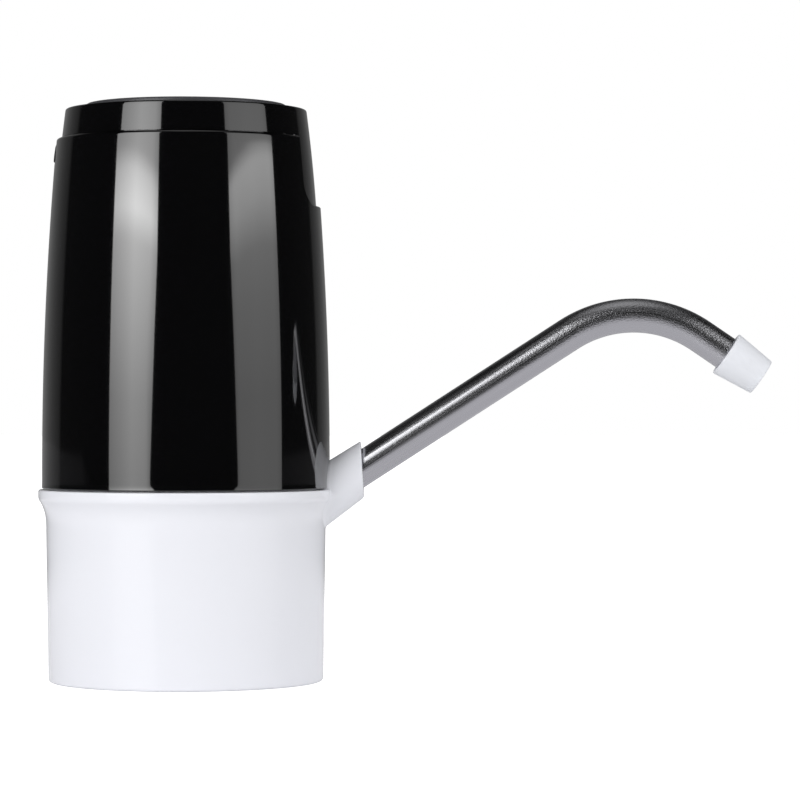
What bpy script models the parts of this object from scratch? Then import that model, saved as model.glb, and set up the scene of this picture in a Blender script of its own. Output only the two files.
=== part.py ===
"""Pump for a large water bottle.

A moulded collar stands on the bottle's neck and carries a barrel with a motor, a wobble-plate
diaphragm pump, a cell and a circuit board. A bent steel spout plugs into the collar's socket.

Metres, +Z up, +X towards the spout. The origin is on the barrel's axis at the underside of the
collar's seat, where the mouth of the bottle stops.
"""

import math

import bmesh
import bpy
from mathutils import Matrix, Vector

# Clearances and cuts
FIT_GAP = 0.0003  # between pieces that seat on each other
RUNNING_GAP = 0.0002  # between a turning pin and its hole
BOARD_GAP = 0.0007  # round the circuit board
OVERRUN = 0.001  # how far a cutter passes the face that it opens
EMBED = 0.001  # how deep a joined shape starts inside the one that carries it
MERGE = 0.00001  # distance within which turned points become one

# Facets round turned shapes
LARGE_STEPS = 44
MEDIUM_STEPS = 28
SMALL_STEPS = 18
TINY_STEPS = 10

# Collar, whose rim stands out past the barrel
SKIRT_DEPTH = 0.038
RIM_STEP = 0.00098
FLARE_STEP = 0.0021  # from the waist out to the rim
FOOT_DRAFT = 0.0006  # from the waist in to the foot
FOOT_ROUND = 0.0008
WAIST_HEIGHT = 0.0015
RIM_LOW = 0.0100
RIM_BAND = 0.0020
RIM_ROUND = 0.0005
SKIRT_WALL = 0.0023
SEAT_THICKNESS = 0.0025
UPSTAND_HEIGHT = 0.0045
UPSTAND_WALL = 0.0023
FLARE_POWER = 3
FLARE_STEPS = 5

# Ribs that grip the bottle's neck
NECK_RIB_REACH = 0.00525
NECK_RIB_COUNT = 8
NECK_RIB_THICKNESS = 0.0016
NECK_RIB_DEPTH = 0.034
NECK_RIB_LEAD_IN = 0.003

# Spout socket on the collar
MOUTH_PROUD = 0.00863  # from the barrel's widest radius out to the mouth
MOUTH_HEIGHT = 0.01797
MOUTH_LEAN = math.radians(3.5)
SOCKET_TILT = math.radians(34.5)
SOCKET_MOUTH_RADIUS = 0.0064
SOCKET_BASE_RADIUS = 0.0073
SOCKET_LENGTH = 0.018
SOCKET_NECK_WALL = 0.0017

# Spout
SPOUT_RISE = math.radians(32.95)
SPOUT_DROP = math.radians(34.3)
SPOUT_RADIUS = 0.0045
SPOUT_WALL = 0.0005
SPOUT_INSERTION = 0.011
SPOUT_STRAIGHT = 0.06483
SPOUT_BEND_RADIUS = 0.0315
SPOUT_BEND_STEPS = 12
SPOUT_END_LENGTH = 0.0085
SEAL_START = 0.0048
SEAL_LENGTH = 0.0042
SEAL_WALL = 0.0008

# Soft nozzle on the spout's end
NOZZLE_LENGTH = 0.011
NOZZLE_RADIUS = 0.0062
NOZZLE_TIP_RADIUS = 0.0051
NOZZLE_ROUND = 0.0006
NOZZLE_GRIP = 0.0078
NOZZLE_BORE_RADIUS = 0.0036

# Barrel shell, whose side is one long arc
SHELL_RADIUS = 0.03787
SHELL_WIDEST_HEIGHT = 0.017
SHELL_ARC_RADIUS = 1.006
SHELL_WALL = 0.002
SHELL_TOP = 0.1046
SHELL_SHOULDER = 0.0012
SHELL_LIP_WIDTH = 0.001
SHELL_LIP_DEPTH = 0.0021
SHELL_ARC_STEPS = 6
SHOULDER_STEPS = 3

# Top cover, with its front tongue
CROWN_STEP = 0.00168  # from the barrel's top radius in to the cover
CROWN_SLOPE = math.radians(6.52)
CROWN_HEIGHT = 0.0075
CROWN_ROUND = 0.001
CROWN_SKIRT_DEPTH = 0.0041
CROWN_SKIRT_WALL = 0.0015
CROWN_FLOOR = 0.0016
SNAP_HOOK_COUNT = 4
SNAP_HOOK_WIDTH = 0.007
SNAP_HOOK_REACH = 0.0007
SNAP_HOOK_HEIGHT = 0.0023
TONGUE_DEPTH = 0.0178
TONGUE_HALF_WIDTH = 0.015
TONGUE_WALL = 0.0016
TONGUE_CORNER = 0.0055

# Top plate, light ring and button
PLATE_INSET = 0.005
PLATE_RECESS = 0.0014
PLATE_THICKNESS = 0.0025
PLATE_ROUND = 0.0006
PLATE_HOLE_SHARE = 0.547  # radius of the plate's hole for each radius of the plate
BUTTON_THICKNESS = 0.0015
BUTTON_SUNK = 0.0002
BUTTON_STEM_RADIUS = 0.0024
BUTTON_TRAVEL = 0.0005
LIGHT_RING_WIDTH = 0.0024
LIGHT_WINDOW_RADIUS = 0.0016

# Circuit board and what it carries
BOARD_THICKNESS = 0.0016
BOARD_DROP = 0.0048  # from the underside of the cover's floor to the top of the board
SWITCH_SIZE = 0.006
SWITCH_HEIGHT = 0.003
SWITCH_BORE_DEPTH = 0.002
PLUNGER_RADIUS = 0.0017
LED_COUNT = 4
LED_SIZE = 0.0028
LED_HEIGHT = 0.0012
CHIP_WIDTH = 0.005
CHIP_DEPTH = 0.0045
CHIP_HEIGHT = 0.0016
CHIP_HEIGHT_SHARES = (1.0, 0.7, 1.8, 1.4)  # of the chips round the board
CHIP_CIRCLE_SHARE = 0.65  # of the board's radius

# Charging port at the back, and its soft plug
PORT_WIDTH = 0.0076
PORT_HEIGHT = 0.0027
PORT_DEPTH = 0.0054
PORT_WALL = 0.0003
PLUG_WIDTH = 0.011
PLUG_HEIGHT = 0.006
PLUG_THICKNESS = 0.0026
PLUG_PROUD = 0.0003
PLUG_ROUND = 0.0013
PLUG_TONGUE_LENGTH = 0.0035

# Intake nipple through the seat
PUMP_X = -0.002
INLET_OFFSET = 0.007
NIPPLE_RADIUS = 0.0025
NIPPLE_BORE_RADIUS = 0.0016
NIPPLE_FLANGE_RADIUS = 0.0045
NIPPLE_FLANGE_THICKNESS = 0.0012
NIPPLE_RISE = 0.0055
NIPPLE_REACH = 0.014
NIPPLE_LEAD_IN = 0.0004
BARB_RADIUS = 0.0031
BARB_START = 0.004
BARB_PITCH = 0.003
BARB_LENGTH = 0.0026
BARB_COUNT = 3

# Outlet way from the pump's hose to the socket
OUTLET_BARB_INSET = 0.021  # from the mouth in to the barb's axis
OUTLET_BARB_LENGTH = 0.0055
OUTLET_BOSS_RADIUS = 0.0032
OUTLET_WAY_RADIUS = 0.0026
OUTLET_BORE_RADIUS = 0.0014
HOSE_WALL = 0.0012

# Chassis
CHASSIS_SHELF_LOW = 0.0145
CHASSIS_SHELF = 0.002
CHASSIS_WALL = 0.0014
CHASSIS_HALF_WIDTH = 0.014
CHASSIS_POST_RADIUS = 0.0032
UPPER_SHELF_DROP = 0.0165  # from the underside of the board to the top of the upper shelf
PEG_COUNT = 4
PEG_RADIUS = 0.0016
PEG_INSET = 0.004
HOLD_DOWN_WALL = 0.002
CELL_CUP_HEIGHT = 0.0075
CELL_CUP_WALL = 0.0012
LEAD_SLOT_WIDTH = 0.006

# Base screws
BASE_SCREW_COUNT = 3
BASE_SCREW_INSET = 0.00926  # from the collar's inner side to the screws' axes
BASE_SCREW_HEAD_RADIUS = 0.0026
BASE_SCREW_HEAD_HEIGHT = 0.0011
BASE_SCREW_RADIUS = 0.0012
BASE_SCREW_LENGTH = 0.0105

# Cell
CELL_RADIUS = 0.0093
CELL_LENGTH = 0.065
CELL_ROUND = 0.0008

# Diaphragm pump
PUMP_RADIUS = 0.014
HEAD_HEIGHT = 0.0094
OUTLET_HEIGHT = 0.0067
OUTLET_REACH = 0.0035
INLET_REACH = 0.0059
VALVE_THICKNESS = 0.0016
DIAPHRAGM_THICKNESS = 0.001
CUP_RADIUS = 0.0036
CUP_CIRCLE = 0.0056
CUP_HEIGHT = 0.0022
CUP_COUNT = 3
BODY_HEIGHT = 0.0143
BODY_TOP_WALL = 0.0014
BODY_CAVITY_RADIUS = 0.0104
PUMP_SCREW_CIRCLE = 0.0122
PUMP_SCREW_RADIUS = 0.0009
PUMP_SCREW_HEAD_RADIUS = 0.0018
PUMP_SCREW_HEAD_HEIGHT = 0.0012
PUMP_SCREW_LENGTH = 0.02

# Wobble drive
WOBBLE_TILT = math.radians(7)
PIVOT_RISE = 0.0009  # pivot of the wobble axis above the diaphragm
WOBBLE_PLATE_RADIUS = 0.0092
WOBBLE_PLATE_THICKNESS = 0.0014
WOBBLE_PLATE_RISE = 0.0031
WOBBLE_ARM_WIDTH = 0.0052
WOBBLE_HUB_RADIUS = 0.0028
WOBBLE_PIN_RADIUS = 0.001
WOBBLE_PIN_LENGTH = 0.0083
ECCENTRIC_RADIUS = 0.0055
ECCENTRIC_HEIGHT = 0.0062

# Motor
MOTOR_RADIUS = 0.0122
MOTOR_HEIGHT = 0.028
MOTOR_ROUND = 0.0012
SHAFT_RADIUS = 0.001
SHAFT_INSERTION = 0.012
SHAFT_GRIP = 0.0026
END_CAP_RADIUS = 0.0112
END_CAP_HEIGHT = 0.002
TERMINAL_OFFSET = 0.006

# Leads
LEAD_RADIUS = 0.0006
LEAD_SPACING = 0.004
LEAD_STRAIGHT = 0.002

# Heights and radii that follow from the sizes above
FOOT = -SKIRT_DEPTH
RIM_RADIUS = SHELL_RADIUS + RIM_STEP
WAIST_RADIUS = RIM_RADIUS - FLARE_STEP
FOOT_RADIUS = WAIST_RADIUS - FOOT_DRAFT
SKIRT_INNER_RADIUS = FOOT_RADIUS - SKIRT_WALL
NECK_RADIUS = SKIRT_INNER_RADIUS - NECK_RIB_REACH
MOUTH_REACH = SHELL_RADIUS + MOUTH_PROUD
LEDGE = RIM_LOW + RIM_BAND + RIM_ROUND
SHELL_BOTTOM = LEDGE + FIT_GAP
CROWN_BOTTOM = SHELL_TOP + FIT_GAP
CROWN_TOP = CROWN_BOTTOM + CROWN_HEIGHT
TONGUE_BOTTOM = CROWN_BOTTOM - TONGUE_DEPTH
FLOOR_TOP = CROWN_TOP - PLATE_RECESS
FLOOR_BOTTOM = FLOOR_TOP - CROWN_FLOOR
PLATE_TOP = FLOOR_TOP + FIT_GAP + PLATE_THICKNESS
BUTTON_TOP = PLATE_TOP - BUTTON_SUNK
BOARD_TOP = FLOOR_BOTTOM - BOARD_DROP
BOARD_BOTTOM = BOARD_TOP - BOARD_THICKNESS
SWITCH_TOP = BOARD_TOP + FIT_GAP + SWITCH_HEIGHT
SHELF_TOP = CHASSIS_SHELF_LOW + CHASSIS_SHELF
UPPER_SHELF_TOP = BOARD_BOTTOM - UPPER_SHELF_DROP
UPPER_SHELF_LOW = UPPER_SHELF_TOP - CHASSIS_SHELF
HEAD_BOTTOM = SHELF_TOP + FIT_GAP
HEAD_TOP = HEAD_BOTTOM + HEAD_HEIGHT
VALVE_BOTTOM = HEAD_TOP + FIT_GAP
VALVE_TOP = VALVE_BOTTOM + VALVE_THICKNESS
DIAPHRAGM_BOTTOM = VALVE_TOP + FIT_GAP
DIAPHRAGM_TOP = DIAPHRAGM_BOTTOM + DIAPHRAGM_THICKNESS
BODY_BOTTOM = DIAPHRAGM_TOP + FIT_GAP
BODY_TOP = BODY_BOTTOM + BODY_HEIGHT
MOTOR_BOTTOM = BODY_TOP + FIT_GAP
MOTOR_TOP = MOTOR_BOTTOM + MOTOR_HEIGHT
END_CAP_TOP = MOTOR_TOP + FIT_GAP + END_CAP_HEIGHT
CELL_CUP_RADIUS = CELL_RADIUS + FIT_GAP + CELL_CUP_WALL
PACK_DEPTH = 2 * PUMP_RADIUS + 3 * FIT_GAP + CHASSIS_WALL + CELL_RADIUS + CELL_CUP_RADIUS
PUMP_Y = PUMP_RADIUS - PACK_DEPTH / 2
CHASSIS_WALL_Y = PUMP_Y + PUMP_RADIUS + 2 * FIT_GAP
CELL_Y = CHASSIS_WALL_Y + CHASSIS_WALL + FIT_GAP + CELL_RADIUS
INLET = Vector((PUMP_X - INLET_OFFSET, PUMP_Y, 0))
PUMP = Vector((PUMP_X, PUMP_Y, 0))
MOUTH = Vector((MOUTH_REACH, 0, MOUTH_HEIGHT))
SPOUT_AXIS = Vector((math.cos(SPOUT_RISE), 0, math.sin(SPOUT_RISE)))
SOCKET_AXIS = Vector((math.cos(SOCKET_TILT), 0, math.sin(SOCKET_TILT)))
NOZZLE_AXIS = Vector((math.cos(SPOUT_DROP), 0, -math.sin(SPOUT_DROP)))
SOCKET_BORE_RADIUS = SPOUT_RADIUS + FIT_GAP
HOSE_RADIUS = NIPPLE_RADIUS + FIT_GAP + HOSE_WALL
PIVOT = PUMP + Vector((0, 0, DIAPHRAGM_TOP + PIVOT_RISE))
WOBBLE_AXIS = Vector((math.sin(WOBBLE_TILT), 0, math.cos(WOBBLE_TILT)))


def shell_radius(height):
    """Outer radius of the barrel's long arc at a height."""
    rise = height - SHELL_WIDEST_HEIGHT
    return SHELL_RADIUS - SHELL_ARC_RADIUS + math.sqrt(SHELL_ARC_RADIUS**2 - rise**2)


def crown_radius(height):
    """Outer radius of the cover's cone, which the tongue continues downwards."""
    return shell_radius(SHELL_TOP) - CROWN_STEP + (CROWN_BOTTOM - height) * math.tan(CROWN_SLOPE)


UPSTAND_RADIUS = shell_radius(SHELL_BOTTOM) - SHELL_WALL - FIT_GAP
COLLAR_INNER_RADIUS = UPSTAND_RADIUS - UPSTAND_WALL
BASE_SCREW_CIRCLE = COLLAR_INNER_RADIUS - BASE_SCREW_INSET
PLATE_RADIUS = crown_radius(CROWN_TOP) - PLATE_INSET
PLATE_HOLE_RADIUS = PLATE_RADIUS * PLATE_HOLE_SHARE
LIGHT_RING_RADIUS = PLATE_HOLE_RADIUS - FIT_GAP - LIGHT_RING_WIDTH
BUTTON_RADIUS = LIGHT_RING_RADIUS - FIT_GAP
SHELL_LIP_RADIUS = shell_radius(SHELL_TOP) - SHELL_WALL - SHELL_LIP_WIDTH
CROWN_SKIRT_RADIUS = SHELL_LIP_RADIUS - FIT_GAP
BOARD_RADIUS = CROWN_SKIRT_RADIUS - CROWN_SKIRT_WALL - BOARD_GAP
PLUG_BACK = shell_radius(SHELL_TOP) - PLUG_THICKNESS
PORT_FACE = -(PLUG_BACK - FIT_GAP)
PORT_TOP = BOARD_BOTTOM - FIT_GAP
PLUG_TOP = SHELL_TOP - FIT_GAP


def evenly(start, end, steps):
    """Values from start to end in equal steps, both ends included."""
    return [start + (end - start) * step / steps for step in range(steps + 1)]


def arc(centre, radius, start, end, steps):
    """Points of an arc in the (radius, height) plane, from one angle to another."""
    return [
        (centre[0] + radius * math.cos(angle), centre[1] + radius * math.sin(angle))
        for angle in evenly(start, end, steps)
    ]


def around(count, radius, turn=0.0, centre=(0, 0)):
    """Places evenly spaced on a circle."""
    angles = [turn + math.tau * place / count for place in range(count)]
    return [
        (centre[0] + radius * math.cos(angle), centre[1] + radius * math.sin(angle))
        for angle in angles
    ]


def along(axis, distance, start=MOUTH):
    """The point at a distance along an axis, negative inwards."""
    return start + axis * distance


def on_pump(height):
    """The point of the pump's and motor's axis at a height."""
    return PUMP + Vector((0, 0, height))


def on_inlet(height):
    """The point of the intake's axis at a height."""
    return INLET + Vector((0, 0, height))


def ring(outer, inner, low, high):
    """Outline of a plain ring or pipe, down its outer side and up its bore."""
    return [(outer, high), (outer, low), (inner, low), (inner, high)]


def collection(name):
    made = bpy.data.collections.new(name)
    bpy.context.scene.collection.children.link(made)
    return made


def material(name, colour, roughness, metallic=0.0):
    """A Principled material in one colour, given as linear red, green and blue."""
    made = bpy.data.materials.new(name)
    made.use_nodes = True
    shader = made.node_tree.nodes["Principled BSDF"]
    shader.inputs["Base Color"].default_value = (*colour, 1)
    shader.inputs["Roughness"].default_value = roughness
    shader.inputs["Metallic"].default_value = metallic
    return made


def add(name, data, finish):
    """Puts a new object with the parts, or with the cutters if it has no finish."""
    made = bpy.data.objects.new(name, data)
    home = "cutters" if finish is None else "bottled_water_pump"
    bpy.data.collections[home].objects.link(made)
    if finish is None:
        made.hide_render = True
        made.display_type = "WIRE"
    else:
        data.materials.append(bpy.data.materials[finish])
    return made


def turned(name, outline, steps, finish=None, base=(0, 0, 0), axis=(0, 0, 1)):
    """Turns (radius, height) points that run down the outer side, in a loop or from axis to axis."""
    mesh = bpy.data.meshes.new(name)
    edges = [(point, point + 1) for point in range(len(outline) - 1)]
    if outline[0][0] > 0:
        edges.append((len(outline) - 1, 0))
    mesh.from_pydata([(radius, 0, height) for radius, height in outline], edges, [])
    made = add(name, mesh, finish)
    made.location = base
    made.rotation_mode = "QUATERNION"
    made.rotation_quaternion = Vector(axis).to_track_quat("Z", "Y")
    screw = made.modifiers.new("turn", "SCREW")
    screw.steps = screw.render_steps = steps
    screw.use_merge_vertices = True
    screw.merge_threshold = MERGE
    return made


def rod(name, start, end, radius, steps=SMALL_STEPS, finish=None, end_radius=None):
    """A round rod or cone between two points."""
    start, end = Vector(start), Vector(end)
    shape = bmesh.new()
    bmesh.ops.create_cone(
        shape,
        cap_ends=True,
        segments=steps,
        radius1=radius,
        radius2=radius if end_radius is None else end_radius,
        depth=(end - start).length,
    )
    mesh = bpy.data.meshes.new(name)
    shape.to_mesh(mesh)
    shape.free()
    mesh.shade_smooth()
    mesh.set_sharp_from_angle(angle=math.radians(40))
    made = add(name, mesh, finish)
    made.location = (start + end) / 2
    made.rotation_mode = "QUATERNION"
    made.rotation_quaternion = (end - start).to_track_quat("Z", "Y")
    return made


def box(name, low, high, finish=None, rounding=0.0, chosen=None, steps=4):
    """A box between two corners. Chosen picks the edges to round by their middle and direction."""
    low, high = Vector(low), Vector(high)
    shape = bmesh.new()
    bmesh.ops.create_cube(shape, size=1)
    bmesh.ops.scale(shape, vec=high - low, verts=shape.verts)
    if rounding:
        edges = [
            edge
            for edge in shape.edges
            if chosen(
                (edge.verts[0].co + edge.verts[1].co) / 2,
                (edge.verts[1].co - edge.verts[0].co).normalized(),
            )
        ]
        bmesh.ops.bevel(
            shape, geom=edges, offset=rounding, segments=steps, profile=0.5, affect="EDGES"
        )
    mesh = bpy.data.meshes.new(name)
    shape.to_mesh(mesh)
    shape.free()
    made = add(name, mesh, finish)
    made.location = (low + high) / 2
    return made


def tube(name, points, radius, resolution, finish, wall=0.0):
    """A tube along a route: open with a wall, or closed without one."""
    curve = bpy.data.curves.new(name, "CURVE")
    curve.dimensions = "3D"
    curve.bevel_depth = radius
    curve.bevel_resolution = resolution
    curve.use_fill_caps = not wall
    spline = curve.splines.new("POLY")
    spline.points.add(len(points) - 1)
    for point, place in zip(spline.points, points):
        point.co = (*place, 1)
    made = add(name, curve, finish)
    if wall:
        solid = made.modifiers.new("wall", "SOLIDIFY")
        solid.thickness = wall
        solid.offset = -1
    return made


def combine(piece, tool, operation):
    step = piece.modifiers.new(tool.name, "BOOLEAN")
    step.operation = operation
    step.solver = "EXACT"
    step.object = tool


def cut(piece, *tools):
    for tool in tools:
        combine(piece, tool, "DIFFERENCE")


def join(piece, *tools):
    for tool in tools:
        combine(piece, tool, "UNION")


def along_x(_, direction):
    return abs(direction.x) > 0.5


def along_x_low(middle, direction):
    return abs(direction.x) > 0.5 and middle.z < 0


def shell_outline(proud=0.0):
    """The barrel's outer side from the top down, with its rounded shoulder, moved out by proud."""
    shoulder_height = SHELL_TOP - SHELL_SHOULDER
    round_centre = (shell_radius(shoulder_height) - SHELL_SHOULDER, shoulder_height)
    shoulder = arc(round_centre, SHELL_SHOULDER + proud, math.pi / 2, 0, SHOULDER_STEPS)
    heights = evenly(shoulder_height, SHELL_BOTTOM, SHELL_ARC_STEPS)[1:]
    return shoulder + [(shell_radius(height) + proud, height) for height in heights]


def make_collar():
    flare = [
        (WAIST_RADIUS + (RIM_RADIUS - WAIST_RADIUS) * share**FLARE_POWER,
         WAIST_HEIGHT + (RIM_LOW - WAIST_HEIGHT) * share)
        for share in evenly(1, 0, FLARE_STEPS)
    ]
    outline = [
        (0, SEAT_THICKNESS),
        (COLLAR_INNER_RADIUS, SEAT_THICKNESS),
        (COLLAR_INNER_RADIUS, LEDGE + UPSTAND_HEIGHT),
        (UPSTAND_RADIUS, LEDGE + UPSTAND_HEIGHT),
        (UPSTAND_RADIUS, LEDGE),
        (RIM_RADIUS - RIM_ROUND, LEDGE),
        (RIM_RADIUS, LEDGE - RIM_ROUND),
        *flare,
        (FOOT_RADIUS, FOOT + FOOT_ROUND),
        (FOOT_RADIUS - FOOT_ROUND, FOOT),
        (SKIRT_INNER_RADIUS, FOOT),
        (SKIRT_INNER_RADIUS, 0),
        (0, 0),
    ]
    collar = turned("collar", outline, LARGE_STEPS, "white_abs")
    join(collar, make_neck_ribs(), make_socket(), make_socket_neck(), *make_outlet_way())
    cut(collar, *make_water_way())
    seat_low, seat_high = -OVERRUN, SEAT_THICKNESS + OVERRUN
    for number, (x, y) in enumerate(around(BASE_SCREW_COUNT, BASE_SCREW_CIRCLE, math.pi / 3), 1):
        cut(
            collar,
            rod(f"base_screw_hole_{number}", (x, y, seat_low), (x, y, seat_high),
                BASE_SCREW_RADIUS + FIT_GAP, TINY_STEPS),
            rod(f"base_screw_recess_{number}", (x, y, seat_low), (x, y, BASE_SCREW_HEAD_HEIGHT + FIT_GAP),
                BASE_SCREW_HEAD_RADIUS + FIT_GAP, TINY_STEPS),
        )
    cut(collar, rod("nipple_hole", on_inlet(seat_low), on_inlet(seat_high),
                    BARB_RADIUS + FIT_GAP))


def make_neck_ribs():
    """The upright ribs inside the skirt, with a slanted lead-in at their lower inner edge."""
    first = box(
        "neck_ribs",
        (NECK_RADIUS, -NECK_RIB_THICKNESS / 2, -NECK_RIB_DEPTH),
        (SKIRT_INNER_RADIUS + EMBED, NECK_RIB_THICKNESS / 2, EMBED),
        rounding=NECK_RIB_LEAD_IN,
        chosen=lambda middle, direction: abs(direction.y) > 0.5 and middle.x < 0 and middle.z < 0,
        steps=1,
    )
    mesh = first.data
    shape = bmesh.new()
    shape.from_mesh(mesh)
    bmesh.ops.translate(shape, vec=first.location, verts=shape.verts)
    rib = list(shape.verts) + list(shape.edges) + list(shape.faces)
    spin = math.tau / NECK_RIB_COUNT
    bmesh.ops.rotate(shape, verts=shape.verts, matrix=turn_about_z(spin / 2))
    for number in range(1, NECK_RIB_COUNT):
        copied = bmesh.ops.duplicate(shape, geom=rib)["geom"]
        corners = [item for item in copied if isinstance(item, bmesh.types.BMVert)]
        bmesh.ops.rotate(shape, verts=corners, matrix=turn_about_z(spin * number))
    shape.to_mesh(mesh)
    shape.free()
    first.location = (0, 0, 0)
    return first


def turn_about_z(angle):
    return Matrix.Rotation(angle, 3, "Z")


def make_socket():
    """The slanted cone that takes the spout, cut by its nearly upright mouth and hidden in the wall."""
    taper = (SOCKET_BASE_RADIUS - SOCKET_MOUTH_RADIUS) / SOCKET_LENGTH
    reach = SOCKET_MOUTH_RADIUS
    socket = rod(
        "socket",
        along(SOCKET_AXIS, -SOCKET_LENGTH),
        along(SOCKET_AXIS, reach),
        SOCKET_BASE_RADIUS,
        steps=MEDIUM_STEPS,
        end_radius=SOCKET_MOUTH_RADIUS - taper * reach,
    )
    half = 2 * SOCKET_MOUTH_RADIUS
    mouth = box("socket_mouth", (0, -half, -half), (half, half, half))
    mouth.rotation_euler = (0, -MOUTH_LEAN, 0)
    mouth.location = MOUTH + Vector((math.cos(MOUTH_LEAN), 0, math.sin(MOUTH_LEAN))) * half / 2
    inside = rod("socket_inside", (0, 0, FOOT), (0, 0, SHELL_TOP), COLLAR_INNER_RADIUS + EMBED, LARGE_STEPS)
    cut(socket, mouth, inside)
    return socket


def make_socket_neck():
    """The inner end of the socket, round the stop of the spout."""
    return rod(
        "socket_neck",
        along(SPOUT_AXIS, -SPOUT_INSERTION - FIT_GAP - SOCKET_NECK_WALL),
        along(SPOUT_AXIS, -SEAL_START - SEAL_LENGTH),
        SOCKET_BORE_RADIUS + SOCKET_NECK_WALL,
    )


def outlet_way_base():
    """Where the slanted water way meets the upright barb."""
    return along(SPOUT_AXIS, -OUTLET_BARB_INSET / math.cos(SPOUT_RISE))


def outlet_boss_top():
    """Height of the barb's seat, where the hose just clears the slanted wall."""
    rise = HOSE_RADIUS * math.tan(SPOUT_RISE) + OUTLET_WAY_RADIUS / math.cos(SPOUT_RISE)
    return outlet_way_base().z + rise


def make_outlet_way():
    base = outlet_way_base()
    root = Vector((base.x, 0, SEAT_THICKNESS - EMBED))
    slanted = rod(
        "outlet_way_wall",
        along(SPOUT_AXIS, -OUTLET_BORE_RADIUS, base),
        along(SPOUT_AXIS, -SPOUT_INSERTION - EMBED),
        OUTLET_WAY_RADIUS,
    )
    top = outlet_boss_top()
    boss = rod("outlet_boss", root, (base.x, 0, top), OUTLET_BOSS_RADIUS)
    barb = rod("outlet_barb", root, (base.x, 0, top + OUTLET_BARB_LENGTH), NIPPLE_RADIUS)
    return slanted, boss, barb


def make_water_way():
    """Cutters for the spout's bore, the seal's groove and the water way down to the barb."""
    base = outlet_way_base()
    return (
        rod("socket_bore", along(SPOUT_AXIS, -SPOUT_INSERTION - FIT_GAP),
            along(SPOUT_AXIS, SOCKET_MOUTH_RADIUS + OVERRUN), SOCKET_BORE_RADIUS),
        rod("seal_groove", along(SPOUT_AXIS, -SEAL_START - SEAL_LENGTH - FIT_GAP),
            along(SPOUT_AXIS, -SEAL_START + FIT_GAP), SOCKET_BORE_RADIUS + SEAL_WALL + FIT_GAP),
        rod("slanted_water_way", base, along(SPOUT_AXIS, -SPOUT_INSERTION), OUTLET_BORE_RADIUS, TINY_STEPS),
        rod("upright_water_way", base, (base.x, 0, outlet_boss_top() + OUTLET_BARB_LENGTH + OVERRUN),
            OUTLET_BORE_RADIUS, TINY_STEPS),
    )


def tongue_block(name, growth):
    """A block with rounded lower corners, that gives the tongue its outline seen from the front."""
    half = TONGUE_HALF_WIDTH + growth
    return box(
        name,
        (CROWN_SKIRT_RADIUS / 2, -half, TONGUE_BOTTOM - growth),
        (SHELL_RADIUS + OVERRUN, half, CROWN_TOP),
        rounding=TONGUE_CORNER + growth,
        chosen=along_x_low,
        steps=6,
    )


def port_block(name, growth, finish=None):
    """The outline of the port's plug seen from behind, grown for the notch that takes it."""
    half = PLUG_WIDTH / 2 + growth
    top = PLUG_TOP + growth
    return box(
        name,
        (-SHELL_RADIUS - OVERRUN, -half, PLUG_TOP - PLUG_HEIGHT - growth),
        (-PLUG_BACK + growth, half, top if not growth else CROWN_BOTTOM),
        finish,
        rounding=PLUG_ROUND + growth,
        chosen=along_x if not growth else along_x_low,
        steps=3,
    )


def make_shell():
    inner = [
        (shell_radius(height) - SHELL_WALL, height)
        for height in evenly(SHELL_BOTTOM, SHELL_TOP - SHELL_LIP_DEPTH, SHELL_ARC_STEPS)
    ]
    lip = [
        (SHELL_LIP_RADIUS, SHELL_TOP - SHELL_LIP_DEPTH + SHELL_LIP_WIDTH),
        (SHELL_LIP_RADIUS, SHELL_TOP),
    ]
    shell = turned("barrel_shell", shell_outline() + inner + lip, LARGE_STEPS, "black_abs")
    reach = SOCKET_MOUTH_RADIUS
    taper = (SOCKET_BASE_RADIUS - SOCKET_MOUTH_RADIUS) / SOCKET_LENGTH
    socket_room = rod(
        "socket_room",
        along(SOCKET_AXIS, -SOCKET_LENGTH),
        along(SOCKET_AXIS, reach),
        SOCKET_BASE_RADIUS + FIT_GAP,
        steps=MEDIUM_STEPS,
        end_radius=SOCKET_MOUTH_RADIUS - taper * reach + FIT_GAP,
    )
    cut(shell, socket_room, tongue_block("tongue_room", FIT_GAP), port_block("port_room", FIT_GAP))


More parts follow.
